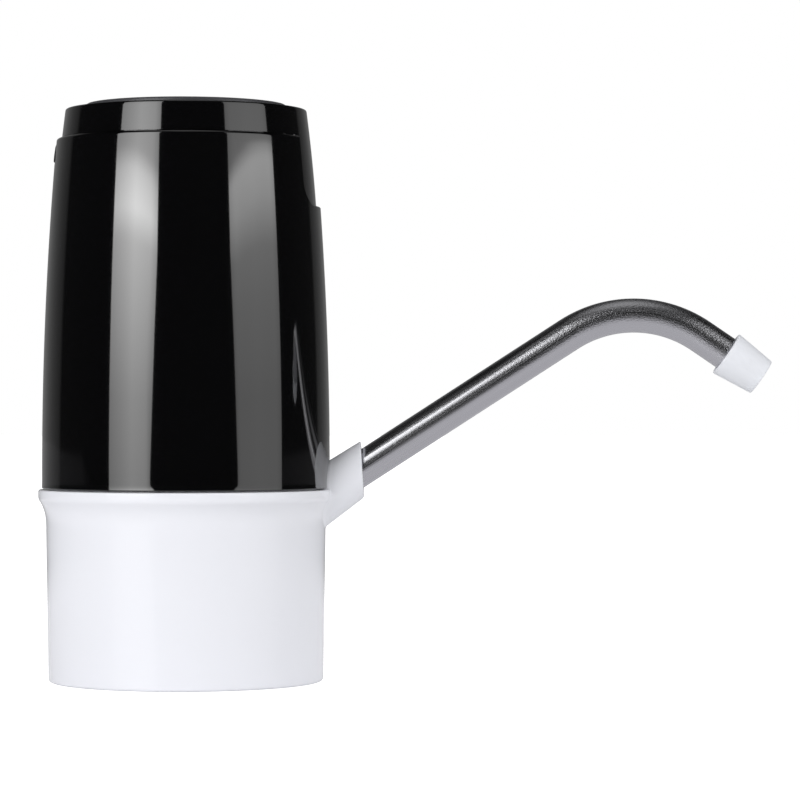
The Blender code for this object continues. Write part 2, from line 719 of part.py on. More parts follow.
def make_top_cover():
    skirt_inner = CROWN_SKIRT_RADIUS - CROWN_SKIRT_WALL
    skirt_low = CROWN_BOTTOM - CROWN_SKIRT_DEPTH
    apron = TONGUE_BOTTOM - OVERRUN
    recess = PLATE_RADIUS + FIT_GAP
    top_round = arc(
        (crown_radius(CROWN_TOP - CROWN_ROUND) - CROWN_ROUND, CROWN_TOP - CROWN_ROUND),
        CROWN_ROUND, math.pi / 2, 0, SHOULDER_STEPS,
    )
    outline = [
        *top_round,
        (crown_radius(CROWN_BOTTOM), CROWN_BOTTOM),
        (crown_radius(apron), apron),
        (crown_radius(apron) - TONGUE_WALL, apron),
        (crown_radius(skirt_low) - TONGUE_WALL, skirt_low),
        (skirt_inner, skirt_low),
        (skirt_inner, FLOOR_BOTTOM),
        (BUTTON_STEM_RADIUS + FIT_GAP, FLOOR_BOTTOM),
        (BUTTON_STEM_RADIUS + FIT_GAP, FLOOR_TOP),
        (recess, FLOOR_TOP),
        (recess, CROWN_TOP),
    ]
    cover = turned("top_cover", outline, LARGE_STEPS, "black_abs")
    outside = SHELL_RADIUS + OVERRUN
    beside_tongue = turned(
        "beside_tongue", ring(outside, CROWN_SKIRT_RADIUS, apron - OVERRUN, CROWN_BOTTOM), LARGE_STEPS
    )
    cut(beside_tongue, tongue_block("tongue", 0.0))
    half = PORT_WIDTH / 2 + FIT_GAP
    behind_port = box(
        "port_gap",
        (-CROWN_SKIRT_RADIUS - OVERRUN, -half, skirt_low - OVERRUN),
        (-skirt_inner + 2 * CROWN_SKIRT_WALL, half, BOARD_BOTTOM),
    )
    cut(cover, beside_tongue, behind_port)
    join(cover, *make_snap_hooks(skirt_low))
    ring_middle = LIGHT_RING_RADIUS + LIGHT_RING_WIDTH / 2
    for number, (x, y) in enumerate(around(LED_COUNT, ring_middle, math.pi / LED_COUNT), 1):
        cut(cover, rod(f"light_window_{number}", (x, y, FLOOR_BOTTOM - OVERRUN), (x, y, FLOOR_TOP + OVERRUN),
                       LIGHT_WINDOW_RADIUS, TINY_STEPS))


def make_snap_hooks(low):
    """Hooks on the cover's skirt that catch under the barrel's lip, clear of the tongue and the port."""
    root = CROWN_SKIRT_RADIUS - EMBED
    reach = CROWN_SKIRT_RADIUS + SNAP_HOOK_REACH
    outline = [
        (root, low + SNAP_HOOK_HEIGHT),
        (CROWN_SKIRT_RADIUS, low + SNAP_HOOK_HEIGHT),
        (reach, low + SNAP_HOOK_HEIGHT - SNAP_HOOK_REACH),
        (reach, low + SNAP_HOOK_HEIGHT / 2),
        (CROWN_SKIRT_RADIUS, low + FIT_GAP),
        (root, low + FIT_GAP),
    ]
    hooks = []
    for number, (x, y) in enumerate(around(SNAP_HOOK_COUNT, CROWN_SKIRT_RADIUS, math.pi / 4), 1):
        hook = turned(f"snap_hook_{number}", outline, LARGE_STEPS)
        half = SNAP_HOOK_WIDTH / 2
        width = box(f"snap_hook_width_{number}", (x - half, y - half, low), (x + half, y + half, SHELL_TOP))
        combine(hook, width, "INTERSECT")
        hooks.append(hook)
    return hooks


def make_top_plate():
    bottom = FLOOR_TOP + FIT_GAP
    edge = arc((PLATE_RADIUS - PLATE_ROUND, PLATE_TOP - PLATE_ROUND), PLATE_ROUND, math.pi / 2, 0, 2)
    outline = [*edge, (PLATE_RADIUS, bottom), (PLATE_HOLE_RADIUS, bottom),
               (PLATE_HOLE_RADIUS, PLATE_TOP)]
    turned("top_plate", outline, LARGE_STEPS, "black_abs")
    light = ring(LIGHT_RING_RADIUS + LIGHT_RING_WIDTH, LIGHT_RING_RADIUS, bottom, BUTTON_TOP)
    turned("light_ring", light, MEDIUM_STEPS, "clear_ring")


def make_button():
    cap_low = BUTTON_TOP - BUTTON_THICKNESS
    plunger_top = FLOOR_BOTTOM - BUTTON_SUNK
    edge = arc((BUTTON_RADIUS - PLATE_ROUND, BUTTON_TOP - PLATE_ROUND), PLATE_ROUND, math.pi / 2, 0, 2)
    outline = [
        (0, BUTTON_TOP),
        *edge,
        (BUTTON_RADIUS, cap_low),
        (BUTTON_STEM_RADIUS, cap_low),
        (BUTTON_STEM_RADIUS, plunger_top + FIT_GAP),
        (0, plunger_top + FIT_GAP),
    ]
    button = turned("power_button", outline, MEDIUM_STEPS, "grey_abs")
    bore_low = SWITCH_TOP - SWITCH_BORE_DEPTH
    plunger = rod("switch_plunger", (0, 0, bore_low + FIT_GAP + BUTTON_TRAVEL), (0, 0, plunger_top),
                  PLUNGER_RADIUS, finish="black_nylon")
    carry("button_slide", (0, 0, BUTTON_TOP), (0, 0, 1), button, plunger)
    half = SWITCH_SIZE / 2
    switch = box("tact_switch", (-half, -half, BOARD_TOP + FIT_GAP), (half, half, SWITCH_TOP), "black_nylon")
    cut(switch, rod("switch_bore", (0, 0, bore_low), (0, 0, SWITCH_TOP + OVERRUN), PLUNGER_RADIUS + FIT_GAP))


def make_board():
    board = rod("circuit_board", (0, 0, BOARD_BOTTOM), (0, 0, BOARD_TOP), BOARD_RADIUS, LARGE_STEPS,
                "green_board")
    chips = around(len(CHIP_HEIGHT_SHARES), CHIP_CIRCLE_SHARE * BOARD_RADIUS)
    for number, ((x, y), share) in enumerate(zip(chips, CHIP_HEIGHT_SHARES), 1):
        join(board, box(f"board_chip_{number}", (x - CHIP_WIDTH / 2, y - CHIP_DEPTH / 2, BOARD_TOP - EMBED),
                        (x + CHIP_WIDTH / 2, y + CHIP_DEPTH / 2, BOARD_TOP + share * CHIP_HEIGHT)))
    half = LED_SIZE / 2
    low = BOARD_TOP + FIT_GAP
    ring_middle = LIGHT_RING_RADIUS + LIGHT_RING_WIDTH / 2
    for number, (x, y) in enumerate(around(LED_COUNT, ring_middle, math.pi / LED_COUNT), 1):
        box(f"status_led_{number}", (x - half, y - half, low), (x + half, y + half, low + LED_HEIGHT), "led")


def make_port():
    """The charging socket under the board, and the soft plug that closes its notch in the barrel."""
    half = PORT_WIDTH / 2
    back = PORT_FACE + PORT_DEPTH
    low = PORT_TOP - PORT_HEIGHT
    port = box("charging_port", (PORT_FACE, -half, low), (back, half, PORT_TOP), "steel",
               rounding=2 * PORT_WALL, chosen=along_x, steps=2)
    inner_half = half - PORT_WALL
    cut(port, box("port_mouth", (PORT_FACE - OVERRUN, -inner_half, low + PORT_WALL),
                  (back - 2 * PORT_WALL, inner_half, PORT_TOP - PORT_WALL)))
    outer = shell_outline(PLUG_PROUD)
    pad = turned("port_plug", outer + [(PLUG_BACK, outer[-1][1]), (PLUG_BACK, outer[0][1])],
                 LARGE_STEPS, "soft_black")
    combine(pad, port_block("plug_pad", 0.0), "INTERSECT")
    tongue_half = inner_half - FIT_GAP
    tongue_low = low + PORT_WALL + FIT_GAP
    tongue_high = PORT_TOP - PORT_WALL - FIT_GAP
    join(pad, box("plug_tongue", (-PLUG_BACK - EMBED, -tongue_half, tongue_low),
                  (PORT_FACE + PLUG_TONGUE_LENGTH, tongue_half, tongue_high)))
    carry("plug_slide", (PORT_FACE, 0, (low + PORT_TOP) / 2), (-1, 0, 0), pad)


def spout_route():
    """The tube's middle line: up along the socket's axis, over the bend and down to the nozzle."""
    start = along(SPOUT_AXIS, -SPOUT_INSERTION)
    bend_start = along(SPOUT_AXIS, SPOUT_STRAIGHT)
    down = Vector((math.sin(SPOUT_RISE), 0, -math.cos(SPOUT_RISE)))
    centre = along(down, SPOUT_BEND_RADIUS, bend_start)
    bend = [
        centre + SPOUT_BEND_RADIUS * Vector((math.sin(angle), 0, math.cos(angle)))
        for angle in evenly(-SPOUT_RISE, SPOUT_DROP, SPOUT_BEND_STEPS)
    ]
    nozzle_start = along(NOZZLE_AXIS, SPOUT_END_LENGTH, bend[-1])
    return start, bend, nozzle_start


def make_spout():
    start, bend, nozzle_start = spout_route()
    end = along(NOZZLE_AXIS, NOZZLE_GRIP - FIT_GAP, nozzle_start)
    spout = tube("spout_tube", [start, *bend, end], SPOUT_RADIUS, 5, "steel", SPOUT_WALL)
    outline = [
        (NOZZLE_TIP_RADIUS - NOZZLE_ROUND, NOZZLE_LENGTH),
        (NOZZLE_TIP_RADIUS, NOZZLE_LENGTH - NOZZLE_ROUND),
        (NOZZLE_RADIUS, NOZZLE_ROUND),
        (NOZZLE_RADIUS - NOZZLE_ROUND, 0),
        (SPOUT_RADIUS + FIT_GAP, 0),
        (SPOUT_RADIUS + FIT_GAP, NOZZLE_GRIP),
        (NOZZLE_BORE_RADIUS, NOZZLE_GRIP),
        (NOZZLE_BORE_RADIUS, NOZZLE_LENGTH),
    ]
    nozzle = turned("spout_nozzle", outline, SMALL_STEPS, "white_silicone", nozzle_start, NOZZLE_AXIS)
    seal_radius = SPOUT_RADIUS + FIT_GAP
    seal = turned(
        "seal_ring",
        ring(seal_radius + SEAL_WALL, seal_radius, 0, SEAL_LENGTH),
        SMALL_STEPS,
        "white_silicone",
        along(SPOUT_AXIS, -SEAL_START - SEAL_LENGTH),
        SPOUT_AXIS,
    )
    turning = carry("spout_swivel", MOUTH, SPOUT_AXIS, seal)
    pulling = carry("spout_slide", MOUTH, SPOUT_AXIS, spout, parent=turning)
    carry("nozzle_slide", nozzle_start, NOZZLE_AXIS, nozzle, parent=pulling)


def make_intake_nipple():
    flange_low = SEAT_THICKNESS + FIT_GAP
    flange_high = flange_low + NIPPLE_FLANGE_THICKNESS
    barbs = []
    for number in range(BARB_COUNT):
        top = -BARB_START - number * BARB_PITCH
        barbs += [(NIPPLE_RADIUS, top), (BARB_RADIUS, top), (NIPPLE_RADIUS, top - BARB_LENGTH)]
    outline = [
        (NIPPLE_RADIUS, flange_high + NIPPLE_RISE),
        (NIPPLE_RADIUS, flange_high),
        (NIPPLE_FLANGE_RADIUS, flange_high),
        (NIPPLE_FLANGE_RADIUS, flange_low),
        (BARB_RADIUS, flange_low),
        (BARB_RADIUS, -FIT_GAP),
        (NIPPLE_RADIUS, -FIT_GAP),
        *barbs,
        (NIPPLE_RADIUS, -NIPPLE_REACH + NIPPLE_LEAD_IN),
        (NIPPLE_RADIUS - NIPPLE_LEAD_IN, -NIPPLE_REACH),
        (NIPPLE_BORE_RADIUS, -NIPPLE_REACH),
        (NIPPLE_BORE_RADIUS, flange_high + NIPPLE_RISE),
    ]
    turned("intake_nipple", outline, SMALL_STEPS, "white_abs", INLET)
    hose_low = flange_high + FIT_GAP
    hose_high = CHASSIS_SHELF_LOW - FIT_GAP
    hose = ring(HOSE_RADIUS, NIPPLE_RADIUS + FIT_GAP, hose_low, hose_high)
    turned("inlet_hose", hose, SMALL_STEPS, "clear_hose", INLET)


def make_outlet_hose():
    height = HEAD_BOTTOM + OUTLET_HEIGHT
    start = Vector((PUMP_X + PUMP_RADIUS + FIT_GAP, PUMP_Y, height))
    leave = Vector((PUMP_X + PUMP_RADIUS + OUTLET_REACH, PUMP_Y, height))
    base = outlet_way_base()
    arrive = Vector((base.x, 0, outlet_boss_top() + OUTLET_BARB_LENGTH))
    end = Vector((base.x, 0, outlet_boss_top() + FIT_GAP))
    pull = (arrive - leave).length / 2
    first, second = leave + Vector((pull, 0, 0)), arrive + Vector((0, 0, pull))
    bend = [
        (1 - t) ** 3 * leave + 3 * t * (1 - t) ** 2 * first + 3 * t**2 * (1 - t) * second + t**3 * arrive
        for t in evenly(0, 1, 5)
    ]
    tube("outlet_hose", [start, *bend, end], HOSE_RADIUS, 4, "clear_hose", HOSE_WALL)


def screw(name, tip, head_low, head_height, head_radius, radius):
    """A screw put in from below: its head at head_low and its shank up to tip."""
    outline = [
        (0, tip.z),
        (radius, tip.z),
        (radius, head_low + head_height),
        (head_radius, head_low + head_height),
        (head_radius, head_low),
        (0, head_low),
    ]
    turned(name, outline, TINY_STEPS, "steel", (tip.x, tip.y, 0))


def make_base_screws():
    for number, (x, y) in enumerate(around(BASE_SCREW_COUNT, BASE_SCREW_CIRCLE, math.pi / 3), 1):
        screw(f"base_screw_{number}", Vector((x, y, BASE_SCREW_LENGTH)), 0,
              BASE_SCREW_HEAD_HEIGHT, BASE_SCREW_HEAD_RADIUS, BASE_SCREW_RADIUS)


def make_chassis():
    """Two shelves on one upright wall, with feet for the base screws and pegs under the board."""
    shelf_radius = COLLAR_INNER_RADIUS - FIT_GAP
    chassis = rod("chassis", (0, 0, CHASSIS_SHELF_LOW), (0, 0, SHELF_TOP), shelf_radius, LARGE_STEPS,
                  "grey_abs")
    upper_radius = crown_radius(TONGUE_BOTTOM) - TONGUE_WALL - FIT_GAP
    wall = box("chassis_wall", (-CHASSIS_HALF_WIDTH, CHASSIS_WALL_Y, SHELF_TOP - EMBED),
               (CHASSIS_HALF_WIDTH, CHASSIS_WALL_Y + CHASSIS_WALL, UPPER_SHELF_LOW + EMBED))
    upper = rod("upper_shelf", (0, 0, UPPER_SHELF_LOW), (0, 0, UPPER_SHELF_TOP), upper_radius, LARGE_STEPS)
    hold_low = END_CAP_TOP + FIT_GAP
    hold_radius = END_CAP_RADIUS
    hold_down = turned(
        "hold_down",
        ring(hold_radius, hold_radius - HOLD_DOWN_WALL, hold_low, UPPER_SHELF_LOW + EMBED),
        SMALL_STEPS,
        base=PUMP,
    )
    cup_inner = CELL_CUP_RADIUS - CELL_CUP_WALL
    cup_outline = ring(CELL_CUP_RADIUS, cup_inner, SHELF_TOP - EMBED, SHELF_TOP + CELL_CUP_HEIGHT)
    cup = turned("cell_cup", cup_outline, SMALL_STEPS, base=(0, CELL_Y, 0))
    join(chassis, wall, upper, hold_down, cup)
    for number, (x, y) in enumerate(around(BASE_SCREW_COUNT, BASE_SCREW_CIRCLE, math.pi / 3), 1):
        join(chassis, rod(f"chassis_foot_{number}", (x, y, SEAT_THICKNESS + FIT_GAP),
                          (x, y, CHASSIS_SHELF_LOW + EMBED), CHASSIS_POST_RADIUS))
        cut(chassis, rod(f"foot_hole_{number}", (x, y, SEAT_THICKNESS - OVERRUN),
                         (x, y, BASE_SCREW_LENGTH + OVERRUN), BASE_SCREW_RADIUS + FIT_GAP, TINY_STEPS))
    pegs = around(PEG_COUNT, BOARD_RADIUS - PEG_INSET, math.pi / PEG_COUNT)
    for number, (x, y) in enumerate(pegs, 1):
        join(chassis, rod(f"board_peg_{number}", (x, y, UPPER_SHELF_LOW + EMBED),
                          (x, y, BOARD_BOTTOM - FIT_GAP), PEG_RADIUS, TINY_STEPS))
    base = outlet_way_base()
    room = HOSE_RADIUS + BOARD_GAP
    cut(
        chassis,
        box("hose_room", (base.x - room, -2 * room, CHASSIS_SHELF_LOW - OVERRUN),
            (SHELL_RADIUS, 2 * room, SHELF_TOP + OVERRUN)),
        rod("inlet_room", on_inlet(CHASSIS_SHELF_LOW - OVERRUN),
            on_inlet(SHELF_TOP + OVERRUN), HOSE_RADIUS + FIT_GAP),
        lead_slot("motor_lead_slot", PUMP_Y),
        lead_slot("cell_lead_slot", CELL_Y),
    )


def lead_slot(name, y):
    half_length = TERMINAL_OFFSET + LEAD_RADIUS + FIT_GAP
    half_width = LEAD_SLOT_WIDTH / 2
    return box(name, (PUMP_X - half_length, y - half_width, UPPER_SHELF_LOW - OVERRUN),
               (half_length, y + half_width, UPPER_SHELF_TOP + OVERRUN))


def make_cell():
    low = SHELF_TOP + FIT_GAP
    high = low + CELL_LENGTH
    outline = [
        (0, high),
        (CELL_RADIUS - CELL_ROUND, high),
        (CELL_RADIUS, high - CELL_ROUND),
        (CELL_RADIUS, low + CELL_ROUND),
        (CELL_RADIUS - CELL_ROUND, low),
        (0, low),
    ]
    turned("battery_cell", outline, SMALL_STEPS, "blue_wrap", (0, CELL_Y, 0))


def pump_screw_places():
    return around(CUP_COUNT, PUMP_SCREW_CIRCLE, math.pi / CUP_COUNT, (PUMP_X, PUMP_Y))


def cut_pump_screw_holes(piece, low, high):
    for number, (x, y) in enumerate(pump_screw_places(), 1):
        cut(piece, rod(f"{piece.name}_hole_{number}", (x, y, low), (x, y, high),
                       PUMP_SCREW_RADIUS + FIT_GAP, TINY_STEPS))


def make_pump_head():
    head = rod("pump_head", on_pump(HEAD_BOTTOM), on_pump(HEAD_TOP), PUMP_RADIUS,
               MEDIUM_STEPS, "black_nylon")
    outlet_height = HEAD_BOTTOM + OUTLET_HEIGHT
    outlet_end = Vector((PUMP_X + PUMP_RADIUS + OUTLET_REACH, PUMP_Y, outlet_height))
    join(
        head,
        rod("outlet_nipple", on_pump(outlet_height), outlet_end, NIPPLE_RADIUS),
        rod("inlet_nipple", on_inlet(HEAD_BOTTOM - INLET_REACH),
            on_inlet(HEAD_BOTTOM + EMBED), NIPPLE_RADIUS),
    )
    cut(
        head,
        rod("outlet_bore", on_pump(outlet_height), outlet_end + Vector((OVERRUN, 0, 0)),
            NIPPLE_BORE_RADIUS, TINY_STEPS),
        rod("outlet_chamber", on_pump(outlet_height), on_pump(HEAD_TOP + OVERRUN),
            CUP_RADIUS, TINY_STEPS),
        rod("inlet_bore", on_inlet(HEAD_BOTTOM - INLET_REACH - OVERRUN),
            on_inlet(HEAD_TOP + OVERRUN), NIPPLE_BORE_RADIUS, TINY_STEPS),
    )
    cut_pump_screw_holes(head, HEAD_BOTTOM - OVERRUN, HEAD_TOP + OVERRUN)
    for number, (x, y) in enumerate(pump_screw_places(), 1):
        cut(head, rod(f"pump_screw_recess_{number}", (x, y, HEAD_BOTTOM - OVERRUN),
                      (x, y, HEAD_BOTTOM + PUMP_SCREW_HEAD_HEIGHT + 2 * FIT_GAP),
                      PUMP_SCREW_HEAD_RADIUS + FIT_GAP, TINY_STEPS))
        screw(f"pump_screw_{number}", Vector((x, y, HEAD_BOTTOM + PUMP_SCREW_LENGTH)), HEAD_BOTTOM + FIT_GAP,
              PUMP_SCREW_HEAD_HEIGHT, PUMP_SCREW_HEAD_RADIUS, PUMP_SCREW_RADIUS)


def make_valve_plate():
    plate = rod("valve_plate", on_pump(VALVE_BOTTOM), on_pump(VALVE_TOP),
                PUMP_RADIUS, MEDIUM_STEPS, "white_abs")
    cut_pump_screw_holes(plate, VALVE_BOTTOM - OVERRUN, VALVE_TOP + OVERRUN)
    for number, (x, y) in enumerate(around(CUP_COUNT, CUP_CIRCLE, centre=(PUMP_X, PUMP_Y)), 1):
        cut(plate, rod(f"valve_port_{number}", (x, y, VALVE_BOTTOM - OVERRUN), (x, y, VALVE_TOP + OVERRUN),
                       NIPPLE_BORE_RADIUS, TINY_STEPS))


def make_diaphragm():
    """The rubber sheet with one cup for each arm of the wobble plate."""
    sheet = rod("pump_diaphragm", on_pump(DIAPHRAGM_BOTTOM), on_pump(DIAPHRAGM_TOP),
                PUMP_RADIUS, MEDIUM_STEPS, "soft_black")
    for number, (x, y) in enumerate(around(CUP_COUNT, CUP_CIRCLE, centre=(PUMP_X, PUMP_Y)), 1):
        join(sheet, rod(f"cup_{number}", (x, y, DIAPHRAGM_TOP - DIAPHRAGM_THICKNESS / 2),
                        (x, y, DIAPHRAGM_TOP + CUP_HEIGHT), CUP_RADIUS, TINY_STEPS,
                        end_radius=CUP_RADIUS / 2))
    cut_pump_screw_holes(sheet, DIAPHRAGM_BOTTOM - OVERRUN, DIAPHRAGM_TOP + OVERRUN)


def make_pump_body():
    body = rod("pump_body", on_pump(BODY_BOTTOM), on_pump(BODY_TOP), PUMP_RADIUS,
               MEDIUM_STEPS, "black_nylon")
    cut(
        body,
        rod("body_cavity", on_pump(BODY_BOTTOM - OVERRUN),
            on_pump(BODY_TOP - BODY_TOP_WALL), BODY_CAVITY_RADIUS, MEDIUM_STEPS),
        rod("shaft_hole", on_pump(BODY_BOTTOM), on_pump(BODY_TOP + OVERRUN),
            SHAFT_RADIUS + FIT_GAP, TINY_STEPS),
    )
    cut_pump_screw_holes(body, BODY_BOTTOM - OVERRUN, HEAD_BOTTOM + PUMP_SCREW_LENGTH + OVERRUN)


def make_wobble_drive():
    """The eccentric on the motor's shaft, and the wobble plate on its tilted pin."""
    eccentric_top = BODY_TOP - BODY_TOP_WALL - FIT_GAP
    eccentric_low = eccentric_top - ECCENTRIC_HEIGHT
    eccentric = rod("eccentric", on_pump(eccentric_low), on_pump(eccentric_top),
                    ECCENTRIC_RADIUS, finish="white_nylon")
    pin_start = along(WOBBLE_AXIS, -PIVOT_RISE / 3, PIVOT)
    pin_end = along(WOBBLE_AXIS, WOBBLE_PIN_LENGTH, PIVOT)
    shaft_low = eccentric_top - SHAFT_GRIP
    shaft_high = MOTOR_BOTTOM + SHAFT_INSERTION
    cut(
        eccentric,
        rod("pin_hole", along(WOBBLE_AXIS, -WOBBLE_PIN_RADIUS, PIVOT),
            along(WOBBLE_AXIS, RUNNING_GAP, pin_end), WOBBLE_PIN_RADIUS + RUNNING_GAP, TINY_STEPS),
        rod("shaft_seat", on_pump(shaft_low - FIT_GAP),
            on_pump(eccentric_top + OVERRUN), SHAFT_RADIUS + FIT_GAP, TINY_STEPS),
    )
    shaft = rod("motor_shaft", on_pump(shaft_low), on_pump(shaft_high),
                SHAFT_RADIUS, TINY_STEPS, "steel")
    pin = rod("wobble_pin", pin_start, pin_end, WOBBLE_PIN_RADIUS, TINY_STEPS, "steel")
    plate_middle = along(WOBBLE_AXIS, WOBBLE_PLATE_RISE + WOBBLE_PLATE_THICKNESS / 2, PIVOT)
    half = WOBBLE_PLATE_THICKNESS / 2
    plate_low, plate_high = (along(WOBBLE_AXIS, side * half, plate_middle) for side in (-1, 1))
    plate = rod("wobble_plate", plate_low, plate_high, WOBBLE_HUB_RADIUS, finish="white_nylon")
    for number in range(CUP_COUNT):
        arm = box(
            f"wobble_arm_{number + 1}",
            (0, -WOBBLE_ARM_WIDTH / 2, -half),
            (WOBBLE_PLATE_RADIUS, WOBBLE_ARM_WIDTH / 2, half),
            rounding=WOBBLE_ARM_WIDTH / 3,
            chosen=lambda middle, direction: abs(direction.z) > 0.5 and middle.x > 0,
            steps=3,
        )
        place_arm(arm, plate_middle, math.tau * number / CUP_COUNT)
        join(plate, arm)
    cut(plate, rod("plate_hole", pin_start, pin_end, WOBBLE_PIN_RADIUS + FIT_GAP, TINY_STEPS))
    turning = carry("motor_axis", on_pump(eccentric_top), (0, 0, 1), eccentric, shaft)
    carry("wobble_axis", PIVOT, WOBBLE_AXIS, plate, pin, parent=turning)


def place_arm(arm, middle, angle):
    """Turns an arm about the tilted pin, from its middle half an arm outwards."""
    tilt = WOBBLE_AXIS.to_track_quat("Z", "Y").to_matrix().to_4x4()
    outwards = Matrix.Translation((WOBBLE_PLATE_RADIUS / 2, 0, 0))
    arm.matrix_basis = Matrix.Translation(middle) @ tilt @ Matrix.Rotation(angle, 4, "Z") @ outwards


def make_motor():
    bore = SHAFT_RADIUS + FIT_GAP
    bore_top = MOTOR_BOTTOM + SHAFT_INSERTION + FIT_GAP
    outline = [
        (0, MOTOR_TOP),
        (MOTOR_RADIUS - MOTOR_ROUND, MOTOR_TOP),
        (MOTOR_RADIUS, MOTOR_TOP - MOTOR_ROUND),
        (MOTOR_RADIUS, MOTOR_BOTTOM + MOTOR_ROUND),
        (MOTOR_RADIUS - MOTOR_ROUND, MOTOR_BOTTOM),
        (bore, MOTOR_BOTTOM),
        (bore, bore_top),
        (0, bore_top),
    ]
    turned("motor_can", outline, MEDIUM_STEPS, "steel", PUMP)
    rod("motor_end_cap", on_pump(MOTOR_TOP + FIT_GAP), on_pump(END_CAP_TOP),
        END_CAP_RADIUS, finish="black_nylon")


def lead(name, start, end, finish):
    """An insulated wire that leaves and arrives upright, sagging over in between."""
    leave, arrive = start + Vector((0, 0, LEAD_STRAIGHT)), end - Vector((0, 0, LEAD_STRAIGHT))
    pull = Vector((0, 0, (arrive - leave).z / 2))
    first, second = leave + pull, arrive - pull
    bend = [
        (1 - t) ** 3 * leave + 3 * t * (1 - t) ** 2 * first + 3 * t**2 * (1 - t) * second + t**3 * arrive
        for t in evenly(0, 1, 6)
    ]
    tube(name, [start, *bend, end], LEAD_RADIUS, 1, finish)


def make_leads():
    cell_top = SHELF_TOP + FIT_GAP + CELL_LENGTH + FIT_GAP
    board = BOARD_BOTTOM - FIT_GAP
    motor_top = END_CAP_TOP + FIT_GAP
    for side, colour in ((-1, "black"), (1, "red")):
        lead(f"cell_lead_{colour}", Vector((side * LEAD_SPACING / 2, CELL_Y, cell_top)),
             Vector((side * LEAD_SPACING, CELL_Y - LEAD_SPACING, board)), f"{colour}_wire")
        lead(f"motor_lead_{colour}", Vector((PUMP_X + side * TERMINAL_OFFSET, PUMP_Y, motor_top)),
             Vector((PUMP_X + side * LEAD_SPACING, PUMP_Y, board)), f"{colour}_wire")


def carry(name, place, axis, *pieces, parent=None):
    """An empty on a joint's axis, which the moving pieces hang from without moving."""
    empty = bpy.data.objects.new(name, None)
    bpy.data.collections["bottled_water_pump"].objects.link(empty)
    empty.location = place
    empty.rotation_mode = "QUATERNION"
    empty.rotation_quaternion = Vector(axis).to_track_quat("Z", "Y")
    bpy.context.view_layer.update()
    resting = empty.matrix_world.copy()
    if parent:
        empty.parent = parent
        empty.matrix_parent_inverse = parent.matrix_world.inverted()
    for piece in pieces:
        piece.parent = empty
        piece.matrix_parent_inverse = resting.inverted()
    bpy.context.view_layer.update()
    return empty


def make_materials():
    material("white_abs", (0.84, 0.86, 0.88), 0.35)
    material("black_abs", (0.004, 0.004, 0.005), 0.12)
    material("grey_abs", (0.05, 0.05, 0.055), 0.4)
    material("black_nylon", (0.02, 0.02, 0.02), 0.5)
    material("white_nylon", (0.75, 0.75, 0.72), 0.5)
    material("white_silicone", (0.86, 0.86, 0.86), 0.55)
    material("soft_black", (0.01, 0.01, 0.01), 0.7)
    material("steel", (0.6, 0.59, 0.58), 0.25, 1.0)
    material("clear_ring", (0.7, 0.75, 0.8), 0.3)
    material("clear_hose", (0.8, 0.82, 0.8), 0.35)
    material("green_board", (0.01, 0.12, 0.05), 0.45)
    material("led", (0.8, 0.8, 0.5), 0.3)
    material("blue_wrap", (0.02, 0.1, 0.4), 0.35)
    material("red_wire", (0.5, 0.01, 0.01), 0.45)
    material("black_wire", (0.01, 0.01, 0.01), 0.45)


def main():
    for old in list(bpy.data.objects):
        bpy.data.objects.remove(old)
    collection("bottled_water_pump")
    collection("cutters")
    make_materials()
    make_collar()
    make_shell()
    make_top_cover()
    make_top_plate()
    make_button()
    make_board()
    make_port()
    make_spout()
    make_intake_nipple()
    make_outlet_hose()
    make_base_screws()
    make_chassis()
    make_cell()
    make_pump_head()
    make_valve_plate()
    make_diaphragm()
    make_pump_body()
    make_wobble_drive()
    make_motor()
    make_leads()


main()
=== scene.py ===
"""Dressed scene of a pump for large water bottles, as an add-on that is run as a script."""

import math
from contextlib import contextmanager

import bmesh
import bpy
from bpy.props import FloatProperty, FloatVectorProperty, PointerProperty
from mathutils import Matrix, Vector


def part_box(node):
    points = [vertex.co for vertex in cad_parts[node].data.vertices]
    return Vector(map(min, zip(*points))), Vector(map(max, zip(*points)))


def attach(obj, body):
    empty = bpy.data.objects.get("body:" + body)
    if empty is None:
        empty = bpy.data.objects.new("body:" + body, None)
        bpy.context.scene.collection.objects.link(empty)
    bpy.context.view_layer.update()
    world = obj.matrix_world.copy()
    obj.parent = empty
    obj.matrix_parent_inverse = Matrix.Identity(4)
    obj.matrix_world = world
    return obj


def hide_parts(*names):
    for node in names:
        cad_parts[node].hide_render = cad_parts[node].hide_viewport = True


bl_info = {
    "name": "Bottled Water Pump",
    "version": (1, 0, 0),
    "blender": (4, 5, 0),
    "location": "3D View > Sidebar > Pump",
    "description": "Models the pieces of a bottled water pump around its packed solids",
    "category": "Object",
}

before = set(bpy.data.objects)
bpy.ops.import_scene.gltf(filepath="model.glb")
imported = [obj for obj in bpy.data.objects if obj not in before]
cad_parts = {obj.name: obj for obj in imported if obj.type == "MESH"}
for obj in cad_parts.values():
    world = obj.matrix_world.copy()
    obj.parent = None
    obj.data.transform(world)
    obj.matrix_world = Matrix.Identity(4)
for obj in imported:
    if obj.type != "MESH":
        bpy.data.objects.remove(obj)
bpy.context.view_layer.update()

# The pump's lengths are in millimetres and become metres where a mesh is made. The studio's are in metres.
MM = 0.001

# Facets round turned pieces, and the distance within which vertices become one
BARREL_STEPS = 256
RING_STEPS = 128
TUBE_STEPS = 96
SMALL_STEPS = 64
ROD_STEPS = 48
MERGE = 0.004

# Clearance between pieces that seat on each other, and where cutters end inside, outside and above the pump
GAP = 0.3
CUT_INSIDE = 16
CUT_OUTSIDE = 48
CUT_TOP = 120

